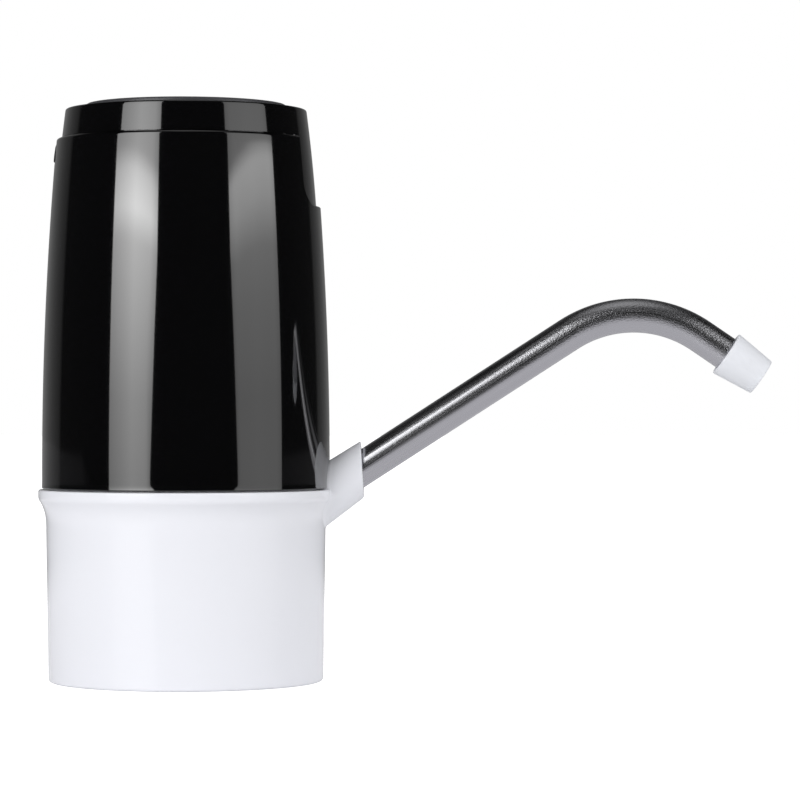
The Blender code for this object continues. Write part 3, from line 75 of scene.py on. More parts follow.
# Collar
SKIRT_FOOT = -38
SKIRT_INNER = 33.85
FOOT_RADIUS = 36.15
WAIST_RADIUS = 36.75
WAIST_HEIGHT = 1.5
RIM_RADIUS = 38.85
RIM_LOW = 10
LEDGE = 12.5
UPSTAND_RADIUS = 35.56
UPSTAND_INNER = 33.26
UPSTAND_TOP = 17
SEAT_TOP = 2.5
NECK_RIB_RADIUS = 28.6
NECK_RIB_FOOT = -34
NECK_RIB_HALF = 0.8
NECK_RIB_LEAD_IN = 3
NECK_RIB_COUNT = 8

# Spout socket and spout. The socket's cone tapers towards its mouth, and the blend dies out below BLEND_TOP.
MOUTH = Vector((46.5, 0, 17.97))
MOUTH_LEAN = math.radians(3.5)
MOUTH_NORMAL = Vector((math.cos(MOUTH_LEAN), 0, math.sin(MOUTH_LEAN)))
SOCKET_TILT = math.radians(34.5)
SOCKET_AXIS = Vector((math.cos(SOCKET_TILT), 0, math.sin(SOCKET_TILT)))
SOCKET_UP = Vector((-math.sin(SOCKET_TILT), 0, math.cos(SOCKET_TILT)))
SOCKET_RADIUS = 6.4
SOCKET_TAPER = 0.9 / 18
SOCKET_ROOT = 24
SOCKET_HIDDEN = 34.4
BLEND_TOP = 12.4
BLEND_FADE = 2.4
BLEND_UNDER = 0.72
BLEND_STRETCH = 1.3
SPOUT_RISE = math.radians(32.95)
SPOUT_DROP = math.radians(34.3)
SPOUT_AXIS = Vector((math.cos(SPOUT_RISE), 0, math.sin(SPOUT_RISE)))
SPOUT_UP = Vector((-math.sin(SPOUT_RISE), 0, math.cos(SPOUT_RISE)))
NOZZLE_AXIS = Vector((math.cos(SPOUT_DROP), 0, -math.sin(SPOUT_DROP)))
NOZZLE_UP = Vector((math.sin(SPOUT_DROP), 0, math.cos(SPOUT_DROP)))
SPOUT_RADIUS = 4.5
SPOUT_WALL = 0.5
SPOUT_INSERTION = 11
SPOUT_STRAIGHT = 64.83
SPOUT_BEND_RADIUS = 31.5
SPOUT_END = 8.5
SPOUT_START = MOUTH - SPOUT_AXIS * SPOUT_INSERTION
BEND_CENTRE = MOUTH + SPOUT_AXIS * SPOUT_STRAIGHT - SPOUT_UP * SPOUT_BEND_RADIUS
NOZZLE_START = BEND_CENTRE + NOZZLE_UP * SPOUT_BEND_RADIUS + NOZZLE_AXIS * SPOUT_END
NOZZLE_BASE_RADIUS = 6.2
NOZZLE_TIP_RADIUS = 5
NOZZLE_FOOT = -0.45
NOZZLE_TIP = 10.8
NOZZLE_GRIP = 7.8
NOZZLE_BORE_RADIUS = 3.6
BORE_RADIUS = 4.8
BORE_END = 11.3
GROOVE_RADIUS = 5.9
GROOVE_START = 4.5
GROOVE_END = 9.3

# Water way in the collar: its walls, and the barb that the outlet hose is pushed on
WATER_TURN = MOUTH - SPOUT_AXIS * 21 / math.cos(SPOUT_RISE)
WATER_RADIUS = 1.4
WATER_WALL_RADIUS = 2.6
NECK_RADIUS = 6.5
BARB_RADIUS = 2.5
BARB_REACH = 5.2
BOSS_RADIUS = 3.2
BOSS_DROP = 5.5

# Barrel
SHELL_RADIUS = 37.87
SHELL_ARC = 1006
WIDEST_HEIGHT = 17
SHELL_LOW = 12.8
SHELL_TOP = 104.6
SHELL_WALL = 2
SHELL_BORE = 31.05
SHOULDER = 0.8
LIP_HEIGHT = 14.4
LIP_REACH = 0.09
NOTCH_MIDDLE = 93
NOTCH_OUT = 0.99
NOTCH_SIZE = (1.2, 6.5, 7)

# Cover with its skirt, snap hooks and tongue
COVER_LOW = 104.9
COVER_TOP = 112.4
COVER_STEP = 1.68
COVER_SLOPE = math.tan(math.radians(6.52))
COVER_BULGE = 0.26
COVER_BULGE_HEIGHT = 105
COVER_BULGE_HALF = 14.5
COVER_WALL = 1.6
SKIRT_RADIUS = 30.75
SKIRT_WALL = 1.5
SKIRT_LOW = 100.8
HOOK_REACH = 0.7
HOOK_HALF = 3.5
HOOK_LOW = 101.1
HOOK_TOP = 103.1
HOOK_COUNT = 4
TONGUE_LOW = 87.1
TONGUE_HALF = 15
TONGUE_CORNER = 5.5
FLOOR_TOP = 111
FLOOR_LOW = 109.4
WINDOW_RADIUS = 1.6
PORT_GAP = ((-32, -4.1, 98), (-26.2, 4.1, 103))

# Plate, light ring and button
PLATE_RADIUS = 26.51
PLATE_HOLE = 14.5
PLATE_LOW = FLOOR_TOP + GAP
PLATE_TOP = 113.8
RING_INNER = 11.8
RING_OUTER = 14.2
BUTTON_RADIUS = 11.5
BUTTON_LOW = 112.1
BUTTON_TOP = 113.6
DISH_RADIUS = 10.4
STEM_RADIUS = 2.4
STEM_HOLE = 2.7
SYMBOL_OUTER = 3
SYMBOL_INNER = 2.45
SYMBOL_BAR = (1.1, 3.9)
SYMBOL_BAR_HALF = 0.28
SYMBOL_PROUD = 0.12
SYMBOL_DEPTH = 0.3

# Port plug
PLUG_HALF = 5.5
PLUG_LOW = 98.3
PLUG_TOP = 104.3
PLUG_CORNER = 1.3
PLUG_BACK = 31.45
PLUG_EDGE = 0.4
PLUG_PROUD = 0.28
PLUG_ROUND_FROM = 101.2
PLUG_ROUND_DEPTH = 0.9
PLUG_TAB = ((-PLUG_BACK - 1, -3.2, 100.6), (-27.65, 3.2, 102.1))

# Intake nipple and base screws
INTAKE = (-9, -11.2)
INTAKE_BORE = 1.6
INTAKE_RADIUS = 2.5
INTAKE_BARB = 3.1
INTAKE_FLANGE = 4.5
INTAKE_HOLE = 3.4
SCREW_HEAD_RADIUS = 2.6
SCREW_RADIUS = 1.2
SCREW_HEAD = 1.1

# What the solids inside wear: material, colour, grain size and height, sockets and nodes
INNER_FINISHES = (
    # Nylon full of glass fibres: dull black with a faint tooth.
    ("black glass-filled nylon", "#1b1b1c", 0.3, 0.02, {"Roughness": 0.55, "IOR": 1.53},
     ("chassis", "motor_end_cap", "tact_switch", "switch_plunger")),
    # Unpigmented nylon: creamy and half matt.
    ("natural nylon", "#e4e0d2", 0.6, 0.01, {"Roughness": 0.45, "IOR": 1.53},
     ("pump_body", "pump_head", "valve_plate", "wobble_plate", "eccentric")),
    # Nickel on drawn steel: warm grey metal with a soft mirror.
    ("nickel-plated steel", "#b9b7b2", 1.5, 0.005, {"Roughness": 0.25, "Metallic": 1.0},
     ("motor_can", "motor_shaft", "wobble_pin", "charging_port",
      "pump_screw_1", "pump_screw_2", "pump_screw_3")),
    # Silicone hose without pigment: milky, with light passing through its wall.
    ("translucent silicone hose", "#e6e9ea", 1.0, 0.01,
     {"Roughness": 0.35, "IOR": 1.41, "Transmission Weight": 0.5}, ("inlet_hose", "outlet_hose")),
    # Solder mask over copper: glossy green with slight waves.
    ("green solder mask", "#0f5a33", 0.5, 0.01, {"Roughness": 0.3, "IOR": 1.5}, ("circuit_board",)),
    # Cast epoxy: pale and very smooth.
    ("clear epoxy lens", "#f0f2e8", 1.0, 0.002, {"Roughness": 0.1, "IOR": 1.5},
     ("status_led_1", "status_led_2", "status_led_3", "status_led_4")),
    # Shrunk PVC film: glossy blue, a little uneven.
    ("blue shrink sleeve", "#2f6fb0", 2.0, 0.02, {"Roughness": 0.3, "IOR": 1.57}, ("battery_cell",)),
    # Extruded PVC: even colour with a soft shine.
    ("red PVC insulation", "#b3161b", 0.6, 0.01, {"Roughness": 0.4, "IOR": 1.53},
     ("cell_lead_red", "motor_lead_red")),
    ("black PVC insulation", "#141414", 0.6, 0.01, {"Roughness": 0.4, "IOR": 1.53},
     ("cell_lead_black", "motor_lead_black")),
)

# Studio, in metres and degrees. Each softbox has its outer and inner azimuth, and its strengths upwards
# and from edge to edge as (share, strength), which follow the photograph's reflections on the barrel.
FLOOR_SIZE = 12
PANEL_DISTANCE = 1.5
PANEL_TOP = 1.36
PANEL_LEAN = 0.14
STRONGEST = 8
WIDEST = 2
LEFT_SOFTBOX = (
    -59.2, -20,
    ((0, 2.3), (0.092, 2.8), (0.184, 4.1), (0.249, 5), (0.281, 7.8), (0.32, 6.4), (0.343, 3.4), (0.406, 3.4),
     (0.64, 3), (1, 3)),
    ((0, 0.65), (0.3, 0.9), (0.5, 1.08), (0.65, 1.04), (0.85, 0.95), (1, 0.65)),
)
RIGHT_SOFTBOX = (
    84.5, 40,
    ((0, 1), (0.092, 1), (0.184, 1.25), (0.235, 1.5), (0.281, 2.8), (0.32, 3.4), (0.343, 1.3), (1, 0.9)),
    ((0, 0.8), (0.12, 1), (0.5, 1.03), (0.88, 0.93), (1, 0.75)),
)
BACKDROP = ((0.56, 0.015), (0.62, 0.075), (0.78, 0.115), (1, 0.18))
CAMERA_PLACE = (0.0564, -0.8826, 0.036)
CAMERA_LENS = 150.5
SENSOR_WIDTH = 36


def linear(code):
    """Linear red, green and blue of an sRGB hex value."""
    parts = [int(code[place : place + 2], 16) / 255 for place in (1, 3, 5)]
    return tuple(part / 12.92 if part <= 0.04045 else ((part + 0.055) / 1.055) ** 2.4 for part in parts)


def length(name, description, default):
    """A size that the user sees in scene units."""
    return FloatProperty(
        name=name, description=description, default=default * MM, min=0, unit="LENGTH", precision=5
    )


def colour(name, description, code):
    """A colour that starts from an sRGB hex value."""
    return FloatVectorProperty(
        name=name, description=description, default=linear(code), size=3, min=0, max=1, subtype="COLOR"
    )


def factor(name, description):
    """A factor that starts from one."""
    return FloatProperty(name=name, description=description, default=1.0, min=0)


class PumpSizes(bpy.types.PropertyGroup):
    """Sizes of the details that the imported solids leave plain."""

    seam_round: length("Seam round", "Round on the edges of the barrel's cut-outs and of the tongue", 0.3)
    socket_fillet: length("Socket fillet", "Reach of the blend between the socket and the collar", 2.2)
    mouth_round: length("Mouth round", "Round on the outer edge of the socket's mouth", 0.5)
    button_dish: length("Button dish", "How far the middle of the button lies under its edge", 0.35)


class PumpColours(bpy.types.PropertyGroup):
    """Colours of the mouldings and of the small parts."""

    white_plastic: colour("White plastic", "Colour of the collar", "#f0f1f7")
    black_plastic: colour("Black plastic", "Colour of the barrel and the cover", "#040405")
    button: colour("Button", "Colour of the power button", "#3a3c40")
    steel: colour("Steel", "Reflected colour of the spout", "#cbcbcf")
    silicone: colour("Silicone", "Colour of the nozzle and the seal", "#eceef4")


class PumpStage(bpy.types.PropertyGroup):
    """Studio that the pump is photographed in."""

    floor: colour("Floor", "Colour of the floor and the backdrop", "#f7f7f7")
    left_light: factor("Left softbox", "Strength of the left softbox")
    right_light: factor("Right softbox", "Strength of the right softbox")


def evenly(start, end, steps):
    """Values from start to end in equal steps, both ends included."""
    return [start + (end - start) * step / steps for step in range(steps + 1)]


def shell_radius(height):
    """Outer radius of the barrel's long arc at a height."""
    return SHELL_RADIUS - SHELL_ARC + math.sqrt(SHELL_ARC**2 - (height - WIDEST_HEIGHT) ** 2)


def capped_radius(height):
    """The barrel's radius, which goes straight on above its top."""
    return shell_radius(min(height, SHELL_TOP))


def wall_radius(height):
    """Outer radius of the barrel with the faint lip that it ends in below."""
    drop = max(LIP_HEIGHT - height, 0) / (LIP_HEIGHT - SHELL_LOW)
    return shell_radius(height) + LIP_REACH * drop**2


def plug_radius(height):
    """Outer radius of the port plug, which stands a little proud below and rounds off towards its top."""
    over = max(height - PLUG_ROUND_FROM, 0) / (PLUG_TOP - PLUG_ROUND_FROM)
    return shell_radius(height) + PLUG_PROUD - PLUG_ROUND_DEPTH * over**2


def cover_radius(height):
    """Outer radius of the cover's slightly convex cone, which the tongue continues downwards."""
    bulge = COVER_BULGE * (1 - ((height - COVER_BULGE_HEIGHT) / COVER_BULGE_HALF) ** 2)
    return shell_radius(SHELL_TOP) - COVER_STEP + (COVER_LOW - height) * COVER_SLOPE + bulge


def collar_radius(height):
    """Outer radius of the collar."""
    if height >= RIM_LOW:
        return RIM_RADIUS
    if height >= WAIST_HEIGHT:
        share = (height - WAIST_HEIGHT) / (RIM_LOW - WAIST_HEIGHT)
        return WAIST_RADIUS + (RIM_RADIUS - WAIST_RADIUS) * share**3
    share = (height - SKIRT_FOOT) / (WAIST_HEIGHT - SKIRT_FOOT)
    return FOOT_RADIUS + (WAIST_RADIUS - FOOT_RADIUS) * share


def reach(start, direction, radius_at, depth=0.0):
    """Where a line that runs outwards from start meets a turned surface, or that depth under it."""
    near, far = 0.0, 90.0
    for _ in range(40):
        middle = (near + far) / 2
        point = start + direction * middle
        if math.hypot(point.x, point.y) < radius_at(point.z) - depth:
            near = middle
        else:
            far = middle
    return start + direction * near


def curve(start, corner, end, steps):
    """Points of a round that leaves start and reaches end along the corner's two sides."""
    return [start.lerp(corner, share).lerp(corner.lerp(end, share), share) for share in evenly(0, 1, steps)]


def softened(points):
    """Rounds an outline's corners: a third value at a point is how far its round reaches."""
    made = []
    for place, (across, up, *round_reach) in enumerate(points):
        if not round_reach:
            made.append((across, up))
            continue
        corner = Vector((across, up))
        before = Vector(points[place - 1][:2]) - corner
        after = Vector(points[(place + 1) % len(points)][:2]) - corner
        start, end = (corner + side.normalized() * round_reach[0] for side in (before, after))
        made += [tuple(point) for point in curve(start, corner, end, 4)]
    return made


def only(*pieces):
    """Selects these objects and nothing else, and makes the first one active."""
    bpy.ops.object.select_all(action="DESELECT")
    for piece in pieces:
        piece.select_set(True)
    bpy.context.view_layer.objects.active = pieces[0]


@contextmanager
def editing(piece):
    """Edit mode on one object, with all of it selected."""
    only(piece)
    bpy.ops.object.mode_set(mode="EDIT")
    bpy.ops.mesh.select_mode(type="VERT")
    bpy.ops.mesh.select_all(action="SELECT")
    yield
    bpy.ops.object.mode_set(mode="OBJECT")


def choose(piece, test):
    """In edit mode, selects the vertices that pass a test of their place in millimetres."""
    bpy.ops.mesh.select_all(action="DESELECT")
    shape = bmesh.from_edit_mesh(piece.data)
    world = piece.matrix_world
    for vertex in shape.verts:
        vertex.select = test(world @ vertex.co / MM)
    shape.select_flush_mode()
    bmesh.update_edit_mesh(piece.data)


def cleaned():
    """In edit mode, merges what lies together in the whole mesh and turns its faces outwards."""
    bpy.ops.mesh.select_all(action="SELECT")
    bpy.ops.mesh.remove_doubles(threshold=MERGE * MM)
    bpy.ops.mesh.normals_make_consistent(inside=False)


def primitive(name, add, **settings):
    """A mesh primitive under its own name, added with nothing else selected."""
    bpy.ops.object.select_all(action="DESELECT")
    add(**settings)
    piece = bpy.context.active_object
    piece.name = piece.data.name = name
    return piece


def duplicate(piece, name):
    """A copy of a piece with its own mesh."""
    copied = piece.copy()
    copied.data = piece.data.copy()
    copied.name = copied.data.name = name
    bpy.context.scene.collection.objects.link(copied)
    return copied


def settle(piece):
    """Puts the object's place, turn and scale into its mesh."""
    only(piece)
    bpy.ops.object.transform_apply(location=True, rotation=True, scale=True)
    return piece


def turned(name, outline, steps, base=(0, 0, 0), axis=(0, 0, 1)):
    """Draws (radius, height) points as a line of vertices and spins it into a closed solid."""
    first = outline[0]
    start = (first[0] * MM, 0, first[1] * MM)
    piece = primitive(name, bpy.ops.mesh.primitive_plane_add, size=MM, location=start)
    with editing(piece):
        bpy.ops.mesh.merge(type="CENTER")
        for before, after in zip(outline, outline[1:]):
            move = ((after[0] - before[0]) * MM, 0, (after[1] - before[1]) * MM)
            bpy.ops.mesh.extrude_vertices_move(TRANSFORM_OT_translate={"value": move})
        if first[0] > 0:
            ends = [Vector((end[0], 0, end[1])) for end in (first, outline[-1])]
            choose(piece, lambda place: min((place - end).length for end in ends) < 1e-3)
            bpy.ops.mesh.edge_face_add()
        bpy.ops.mesh.select_all(action="SELECT")
        bpy.ops.mesh.spin(steps=steps, angle=math.tau, center=(0, 0, 0), axis=(0, 0, 1))
        cleaned()
    settle(piece)
    piece.rotation_mode = "QUATERNION"
    piece.rotation_quaternion = Vector(axis).to_track_quat("Z", "Y")
    piece.location = Vector(base) * MM
    return settle(piece)


def lofted(name, rings):
    """Extrudes a circle ring by ring, puts each ring's vertices in place and closes both ends."""
    add = bpy.ops.mesh.primitive_circle_add
    piece = primitive(name, add, vertices=len(rings[0]), radius=MM, fill_type="NOTHING")
    with editing(piece):
        shape = bmesh.from_edit_mesh(piece.data)
        place = shape.verts.layers.int.new("place")
        for number, vertex in enumerate(shape.verts):
            vertex[place] = number
            vertex.co = Vector(rings[0][number]) * MM
        bmesh.update_edit_mesh(piece.data)
        bpy.ops.mesh.edge_face_add()
        for ring in rings[1:]:
            bpy.ops.mesh.extrude_region()
            shape = bmesh.from_edit_mesh(piece.data)
            place = shape.verts.layers.int["place"]
            for vertex in shape.verts:
                if vertex.select:
                    vertex.co = Vector(ring[vertex[place]]) * MM
            bmesh.update_edit_mesh(piece.data)
        bpy.ops.mesh.select_all(action="SELECT")
        bpy.ops.mesh.normals_make_consistent(inside=False)
        shape = bmesh.from_edit_mesh(piece.data)
        shape.verts.layers.int.remove(shape.verts.layers.int["place"])
        bmesh.update_edit_mesh(piece.data)
    return piece


def block(name, low, high, round_edges=0.0):
    """A cube primitive sized and placed between two corners, with bevelled edges."""
    low, high = Vector(low), Vector(high)
    piece = primitive(name, bpy.ops.mesh.primitive_cube_add, size=MM, location=(low + high) / 2 * MM)
    piece.scale = high - low
    settle(piece)
    if round_edges:
        with editing(piece):
            bpy.ops.mesh.bevel(offset=round_edges * MM, segments=3, affect="EDGES")
    return piece


def rod(name, start, end, radius, steps=24):
    """A cylinder primitive between two points."""
    start, end = Vector(start), Vector(end)
    turn = (end - start).to_track_quat("Z", "Y").to_euler()
    return settle(primitive(
        name, bpy.ops.mesh.primitive_cylinder_add, vertices=steps, radius=radius * MM,
        depth=(end - start).length * MM, location=(start + end) / 2 * MM, rotation=turn,
    ))


def applied(piece, kind, **settings):
    """Adds a modifier with its settings and applies it."""
    modifier = piece.modifiers.new(kind.lower(), kind)
    for setting, value in settings.items():
        setattr(modifier, setting, value)
    only(piece)
    bpy.ops.object.modifier_apply(modifier=modifier.name)


def combine(piece, operation, *tools):
    """Joins or cuts a piece with solids, which are used up."""
    for tool in tools:
        applied(piece, "BOOLEAN", operation=operation, solver="EXACT", object=tool)
        bpy.data.meshes.remove(tool.data)
    return piece


def dress(piece, material):
    """Gives a piece one material."""
    piece.data.materials.clear()
    piece.data.materials.append(material)


def finished(piece, body, nodes, material):
    """Shades a piece, gives it its material, parents it to its body and hides the solids it stands for."""
    settle(piece)
    with editing(piece):
        bpy.ops.mesh.remove_doubles(threshold=MERGE * MM)
    only(piece)
    bpy.ops.object.shade_smooth_by_angle(angle=math.radians(30))
    dress(piece, material)
    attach(piece, body)
    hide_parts(*nodes)


def add_node(tree, kind, inputs=None, stops=(), **settings):
    """Adds a shader node with its options and ramp stops.

    An input is a value, or a socket or node to link. A node stands for its first output.
    """
    made = tree.nodes.new(f"ShaderNode{kind}")
    for setting, value in settings.items():
        setattr(made, setting, value)
    for socket, value in (inputs or {}).items():
        source = value.outputs[0] if isinstance(value, bpy.types.Node) else value
        if isinstance(source, bpy.types.NodeSocket):
            tree.links.new(source, made.inputs[socket])
        else:
            made.inputs[socket].default_value = source
    if stops:
        ramp = made.color_ramp
        while len(ramp.elements) < len(stops):
            ramp.elements.new(1)
        for element, (position, level) in zip(ramp.elements, stops):
            element.position = position
            element.color = (level, level, level, 1)
    return made


def maths(tree, operation, *terms):
    """A Math node on numbers and other nodes' outputs."""
    return add_node(tree, "Math", dict(enumerate(terms)), operation=operation)


def ranged(tree, value, start, end, low=0.0, high=1.0, **settings):
    """A Map Range node that turns start and end into low and high."""
    inputs = {"Value": value, "From Min": start, "From Max": end, "To Min": low, "To Max": high}
    return add_node(tree, "MapRange", inputs, **settings)


def parts_of(tree, vector):
    """The X, Y and Z outputs of a vector's parts."""
    return add_node(tree, "SeparateXYZ", {"Vector": vector}).outputs


def emptied(holder):
    """The node tree of a material or world, with nothing in it."""
    holder.use_nodes = True
    holder.node_tree.nodes.clear()
    return holder.node_tree


def new_material(name, tint, sockets):
    """A Principled material with its uniform numbers set on the shader's own sockets."""
    made = bpy.data.materials.new(name)
    made.use_nodes = True
    shader = made.node_tree.nodes["Principled BSDF"]
    shader.inputs["Base Color"].default_value = (*tint, 1)
    for socket, value in sockets.items():
        shader.inputs[socket].default_value = value
    return made, made.node_tree, shader


def grained(name, tint, size, height, sockets):
    """A material with one even grain on Object coordinates, of that feature size and height in millimetres."""
    made, tree, shader = new_material(name, tint, sockets)
    place = add_node(tree, "TexCoord").outputs["Object"]
    noise = add_node(tree, "TexNoise", {"Vector": place, "Scale": 1 / (size * MM)})
    bump = add_node(tree, "Bump", {"Height": noise, "Distance": height * MM})
    tree.links.new(bump.outputs["Normal"], shader.inputs["Normal"])
    if "Coat Weight" in sockets:
        tree.links.new(bump.outputs["Normal"], shader.inputs["Coat Normal"])
    return made


def moulded_white_abs(tint):
    # ABS from a polished mould: opaque, faintly cool white with a soft sheen and hardly a mirror.
    sockets = {"Roughness": 0.08, "IOR": 1.53, "Specular IOR Level": 0.26}
    return grained("moulded white ABS", tint, 9, 0.004, sockets)


def polished_black_abs(tint):
    # High-gloss ABS: black like piano lacquer, with crisp reflections that bend a little.
    sockets = {"Roughness": 0.06, "IOR": 1.53, "Coat Weight": 1.0, "Coat Roughness": 0.04, "Coat IOR": 1.5}
    return grained("polished black ABS", tint, 14, 0.006, sockets)


def satin_abs(name, tint):
    # Finely eroded mould face: grey sheen without a clear reflection.
    return grained(name, tint, 0.4, 0.01, {"Roughness": 0.42, "IOR": 1.53})


def frosted_polycarbonate():
    # Polycarbonate with a frosted face: milky, and soft against the gloss round it.
    sockets = {"Roughness": 0.45, "IOR": 1.58, "Transmission Weight": 0.35}
    return grained("frosted polycarbonate", linear("#dfe4ea"), 0.3, 0.01, sockets)


def printed_ink():
    # Pad-printed ink: even, matt and pale.
    return grained("pale printed ink", linear("#c6cbd2"), 1.0, 0.005, {"Roughness": 0.5})


def soft_rubber():
    # Thermoplastic rubber: dull black that greys towards its edges.
    return grained("soft black rubber", linear("#121213"), 0.5, 0.01, {"Roughness": 0.48, "IOR": 1.5})


def moulded_silicone(tint):
    # Silicone rubber: matt, soft-looking white that lets a little light in.
    sockets = {
        "Roughness": 0.42, "IOR": 1.41, "Subsurface Weight": 0.15, "Subsurface Radius": (1, 1, 1),
        "Subsurface Scale": 1.0 * MM,
    }
    return grained("moulded white silicone", tint, 2.5, 0.01, sockets)


def zinc_plating():
    # Zinc-plated steel: pale, slightly blue metal with a soft shine.
    return grained("zinc-plated steel", linear("#c3c6ca"), 0.8, 0.01, {"Roughness": 0.28, "Metallic": 1.0})


def drawn_stainless(tint):
    # Stainless tube drawn and polished lengthways: long fine streaks that blur reflections across.
    made, tree, shader = new_material("drawn stainless steel", tint, {"Metallic": 1.0})
    place = add_node(tree, "Attribute", attribute_name="unbent_pipe").outputs["Vector"]
    # Streaks 0.25 mm wide and 40 mm long, a little coarser than the real scratches.
    stretch = add_node(tree, "Mapping", {"Vector": place, "Scale": (0.025 / MM, 4 / MM, 4 / MM)})
    streaks = add_node(tree, "TexNoise", {"Vector": stretch, "Scale": 1.0, "Detail": 4.0, "Roughness": 0.6})
    rough = ranged(tree, streaks, 0.3, 0.7, 0.17, 0.33)
    tree.links.new(rough.outputs["Result"], shader.inputs["Roughness"])
    # Bending stretches the steel's grain, so the surface turns pebbly from the middle of the pipe on.
    pebbly = ranged(tree, parts_of(tree, place)["X"], 45 * MM, 98 * MM, 0.04, 1.0)
    pebbles = add_node(tree, "Mapping", {"Vector": place, "Scale": (2 / MM, 3.5 / MM, 3.5 / MM)})
    grain = add_node(tree, "TexNoise", {"Vector": pebbles, "Scale": 1.0, "Detail": 3.0})
    scratched = add_node(tree, "Bump", {"Height": streaks, "Distance": 0.012 * MM})
    relief = {"Height": grain, "Strength": pebbly, "Normal": scratched, "Distance": 0.1 * MM}
    bump = add_node(tree, "Bump", relief)
    tree.links.new(bump.outputs["Normal"], shader.inputs["Normal"])
    return made


def tongue_outline(grow):
    """The tongue's outline seen from the front, as points (y, z), grown by a distance."""
    half, low, corner = TONGUE_HALF + grow, TONGUE_LOW - grow, TONGUE_CORNER + grow
    right = [(half, height) for height in evenly(CUT_TOP, low + corner, 10)]
    for angle in evenly(0, math.pi / 2, 8)[1:]:
        right.append((half - corner + corner * math.cos(angle), low + corner - corner * math.sin(angle)))
    bottom = [(across, low) for across in evenly(half - corner, corner - half, 10)[1:-1]]
    return right + bottom + [(-across, height) for across, height in reversed(right)]


def plug_outline(grow, top=None):
    """The port plug's outline seen from behind, as points (y, z), grown by a distance."""
    high = PLUG_TOP + grow if top is None else top
    low, half, corner = PLUG_LOW - grow, PLUG_HALF + grow, PLUG_CORNER + grow
    upper = corner if top is None else 0.01
    made = []
    corners = [(1, high, upper), (-1, high, upper), (-1, low, corner), (1, low, corner)]
    for quarter, (side, height, size) in enumerate(corners):
        across, up = side * (half - size), height - size if height == high else height + size
        for angle in evenly(quarter * math.pi / 2, (quarter + 1) * math.pi / 2, 6):
            made.append((across + size * math.cos(angle), up + size * math.sin(angle)))
    return made


def edge_round(size, turn=75, steps=3):
    """(depth, inset) pairs of the round on an edge, up to that turn in degrees."""
    angles = evenly(0, math.radians(turn), steps)
    return [(size * (1 - math.sin(angle)), size * (1 - math.cos(angle))) for angle in angles]


def sideways(outline, radius_at, depth, side):
    """Puts (y, z) points on a turned surface, that depth under it, on the +X or -X side."""
    return [(side * math.sqrt((radius_at(z) - depth) ** 2 - y**2), y, z) for y, z in outline]


def opening_cutter(name, outline, radius_at, side, size, sign=1):
    """A cutter that rounds the rim of its opening, or with sign -1 the edge of the form it leaves."""
    rings = [[(side * CUT_INSIDE, y, z) for y, z in outline(0)]]
    for depth, inset in edge_round(size):
        rings.append(sideways(outline(sign * inset), radius_at, depth, side))
    rings.append([(side * CUT_OUTSIDE, y, z) for y, z in outline(sign * inset)])
    return lofted(name, rings)


def socket_line(angle, grow=0.0):
    """Start and direction of the line on the socket's cone at an angle round its axis, and its spoke."""
    spoke = Vector((0, math.cos(angle), 0)) + SOCKET_UP * math.sin(angle)
    radius = SOCKET_RADIUS + SOCKET_ROOT * SOCKET_TAPER + grow
    start = MOUTH - SOCKET_AXIS * SOCKET_ROOT + spoke * radius
    return start, (SOCKET_AXIS - spoke * SOCKET_TAPER).normalized(), spoke


def round_the_socket(name, column_at):
    """Lofts a form from the column of points at each angle round the socket's axis."""
    columns = [column_at(math.tau * step / TUBE_STEPS) for step in range(TUBE_STEPS)]
    return lofted(name, [list(ring) for ring in zip(*columns)])


def make_socket(fillet, mouth_round):
    """The slanted socket, blended into the collar below and left sharp where the barrel meets it."""

    def column_at(angle):
        start, direction, spoke = socket_line(angle)
        wall = reach(start, direction, collar_radius)
        weight = min(max((BLEND_TOP - wall.z) / BLEND_FADE, 0), 1)
        under = max(-math.sin(angle), 0) ** 3
        width = 0.02 + fillet * weight * weight * (3 - 2 * weight) * (1 - BLEND_UNDER * under)
        wide_start = start + spoke * width
        foot = reach(wide_start, direction, collar_radius, 0.05)
        hidden = reach(wide_start, direction, collar_radius, 0.9)
        cone = wall + direction * width * BLEND_STRETCH
        column = [reach(start, direction, lambda height: SOCKET_HIDDEN), hidden, *curve(foot, wall, cone, 6)]
        lean = spoke.dot(MOUTH_NORMAL)
        for depth, inset in edge_round(mouth_round, 90, 4):
            radius = SOCKET_RADIUS - inset
            distance = (-depth - radius * lean) / (SOCKET_AXIS.dot(MOUTH_NORMAL) - SOCKET_TAPER * lean)
            column.append(MOUTH + SOCKET_AXIS * distance + spoke * (radius - SOCKET_TAPER * distance))
        return column

    return round_the_socket("socket", column_at)


def make_arch_cutter(size):
    """The cutter of the barrel's arch round the socket, with a rounded rim."""

    def column_at(angle):
        lines = [(depth, *socket_line(angle, GAP + grow)) for depth, grow in edge_round(size)]
        column = [reach(start, direction, shell_radius, depth) for depth, start, direction, _ in lines]
        return [lines[0][1], *column, column[-1] + lines[-1][2] * 12]

    return round_the_socket("arch", column_at)


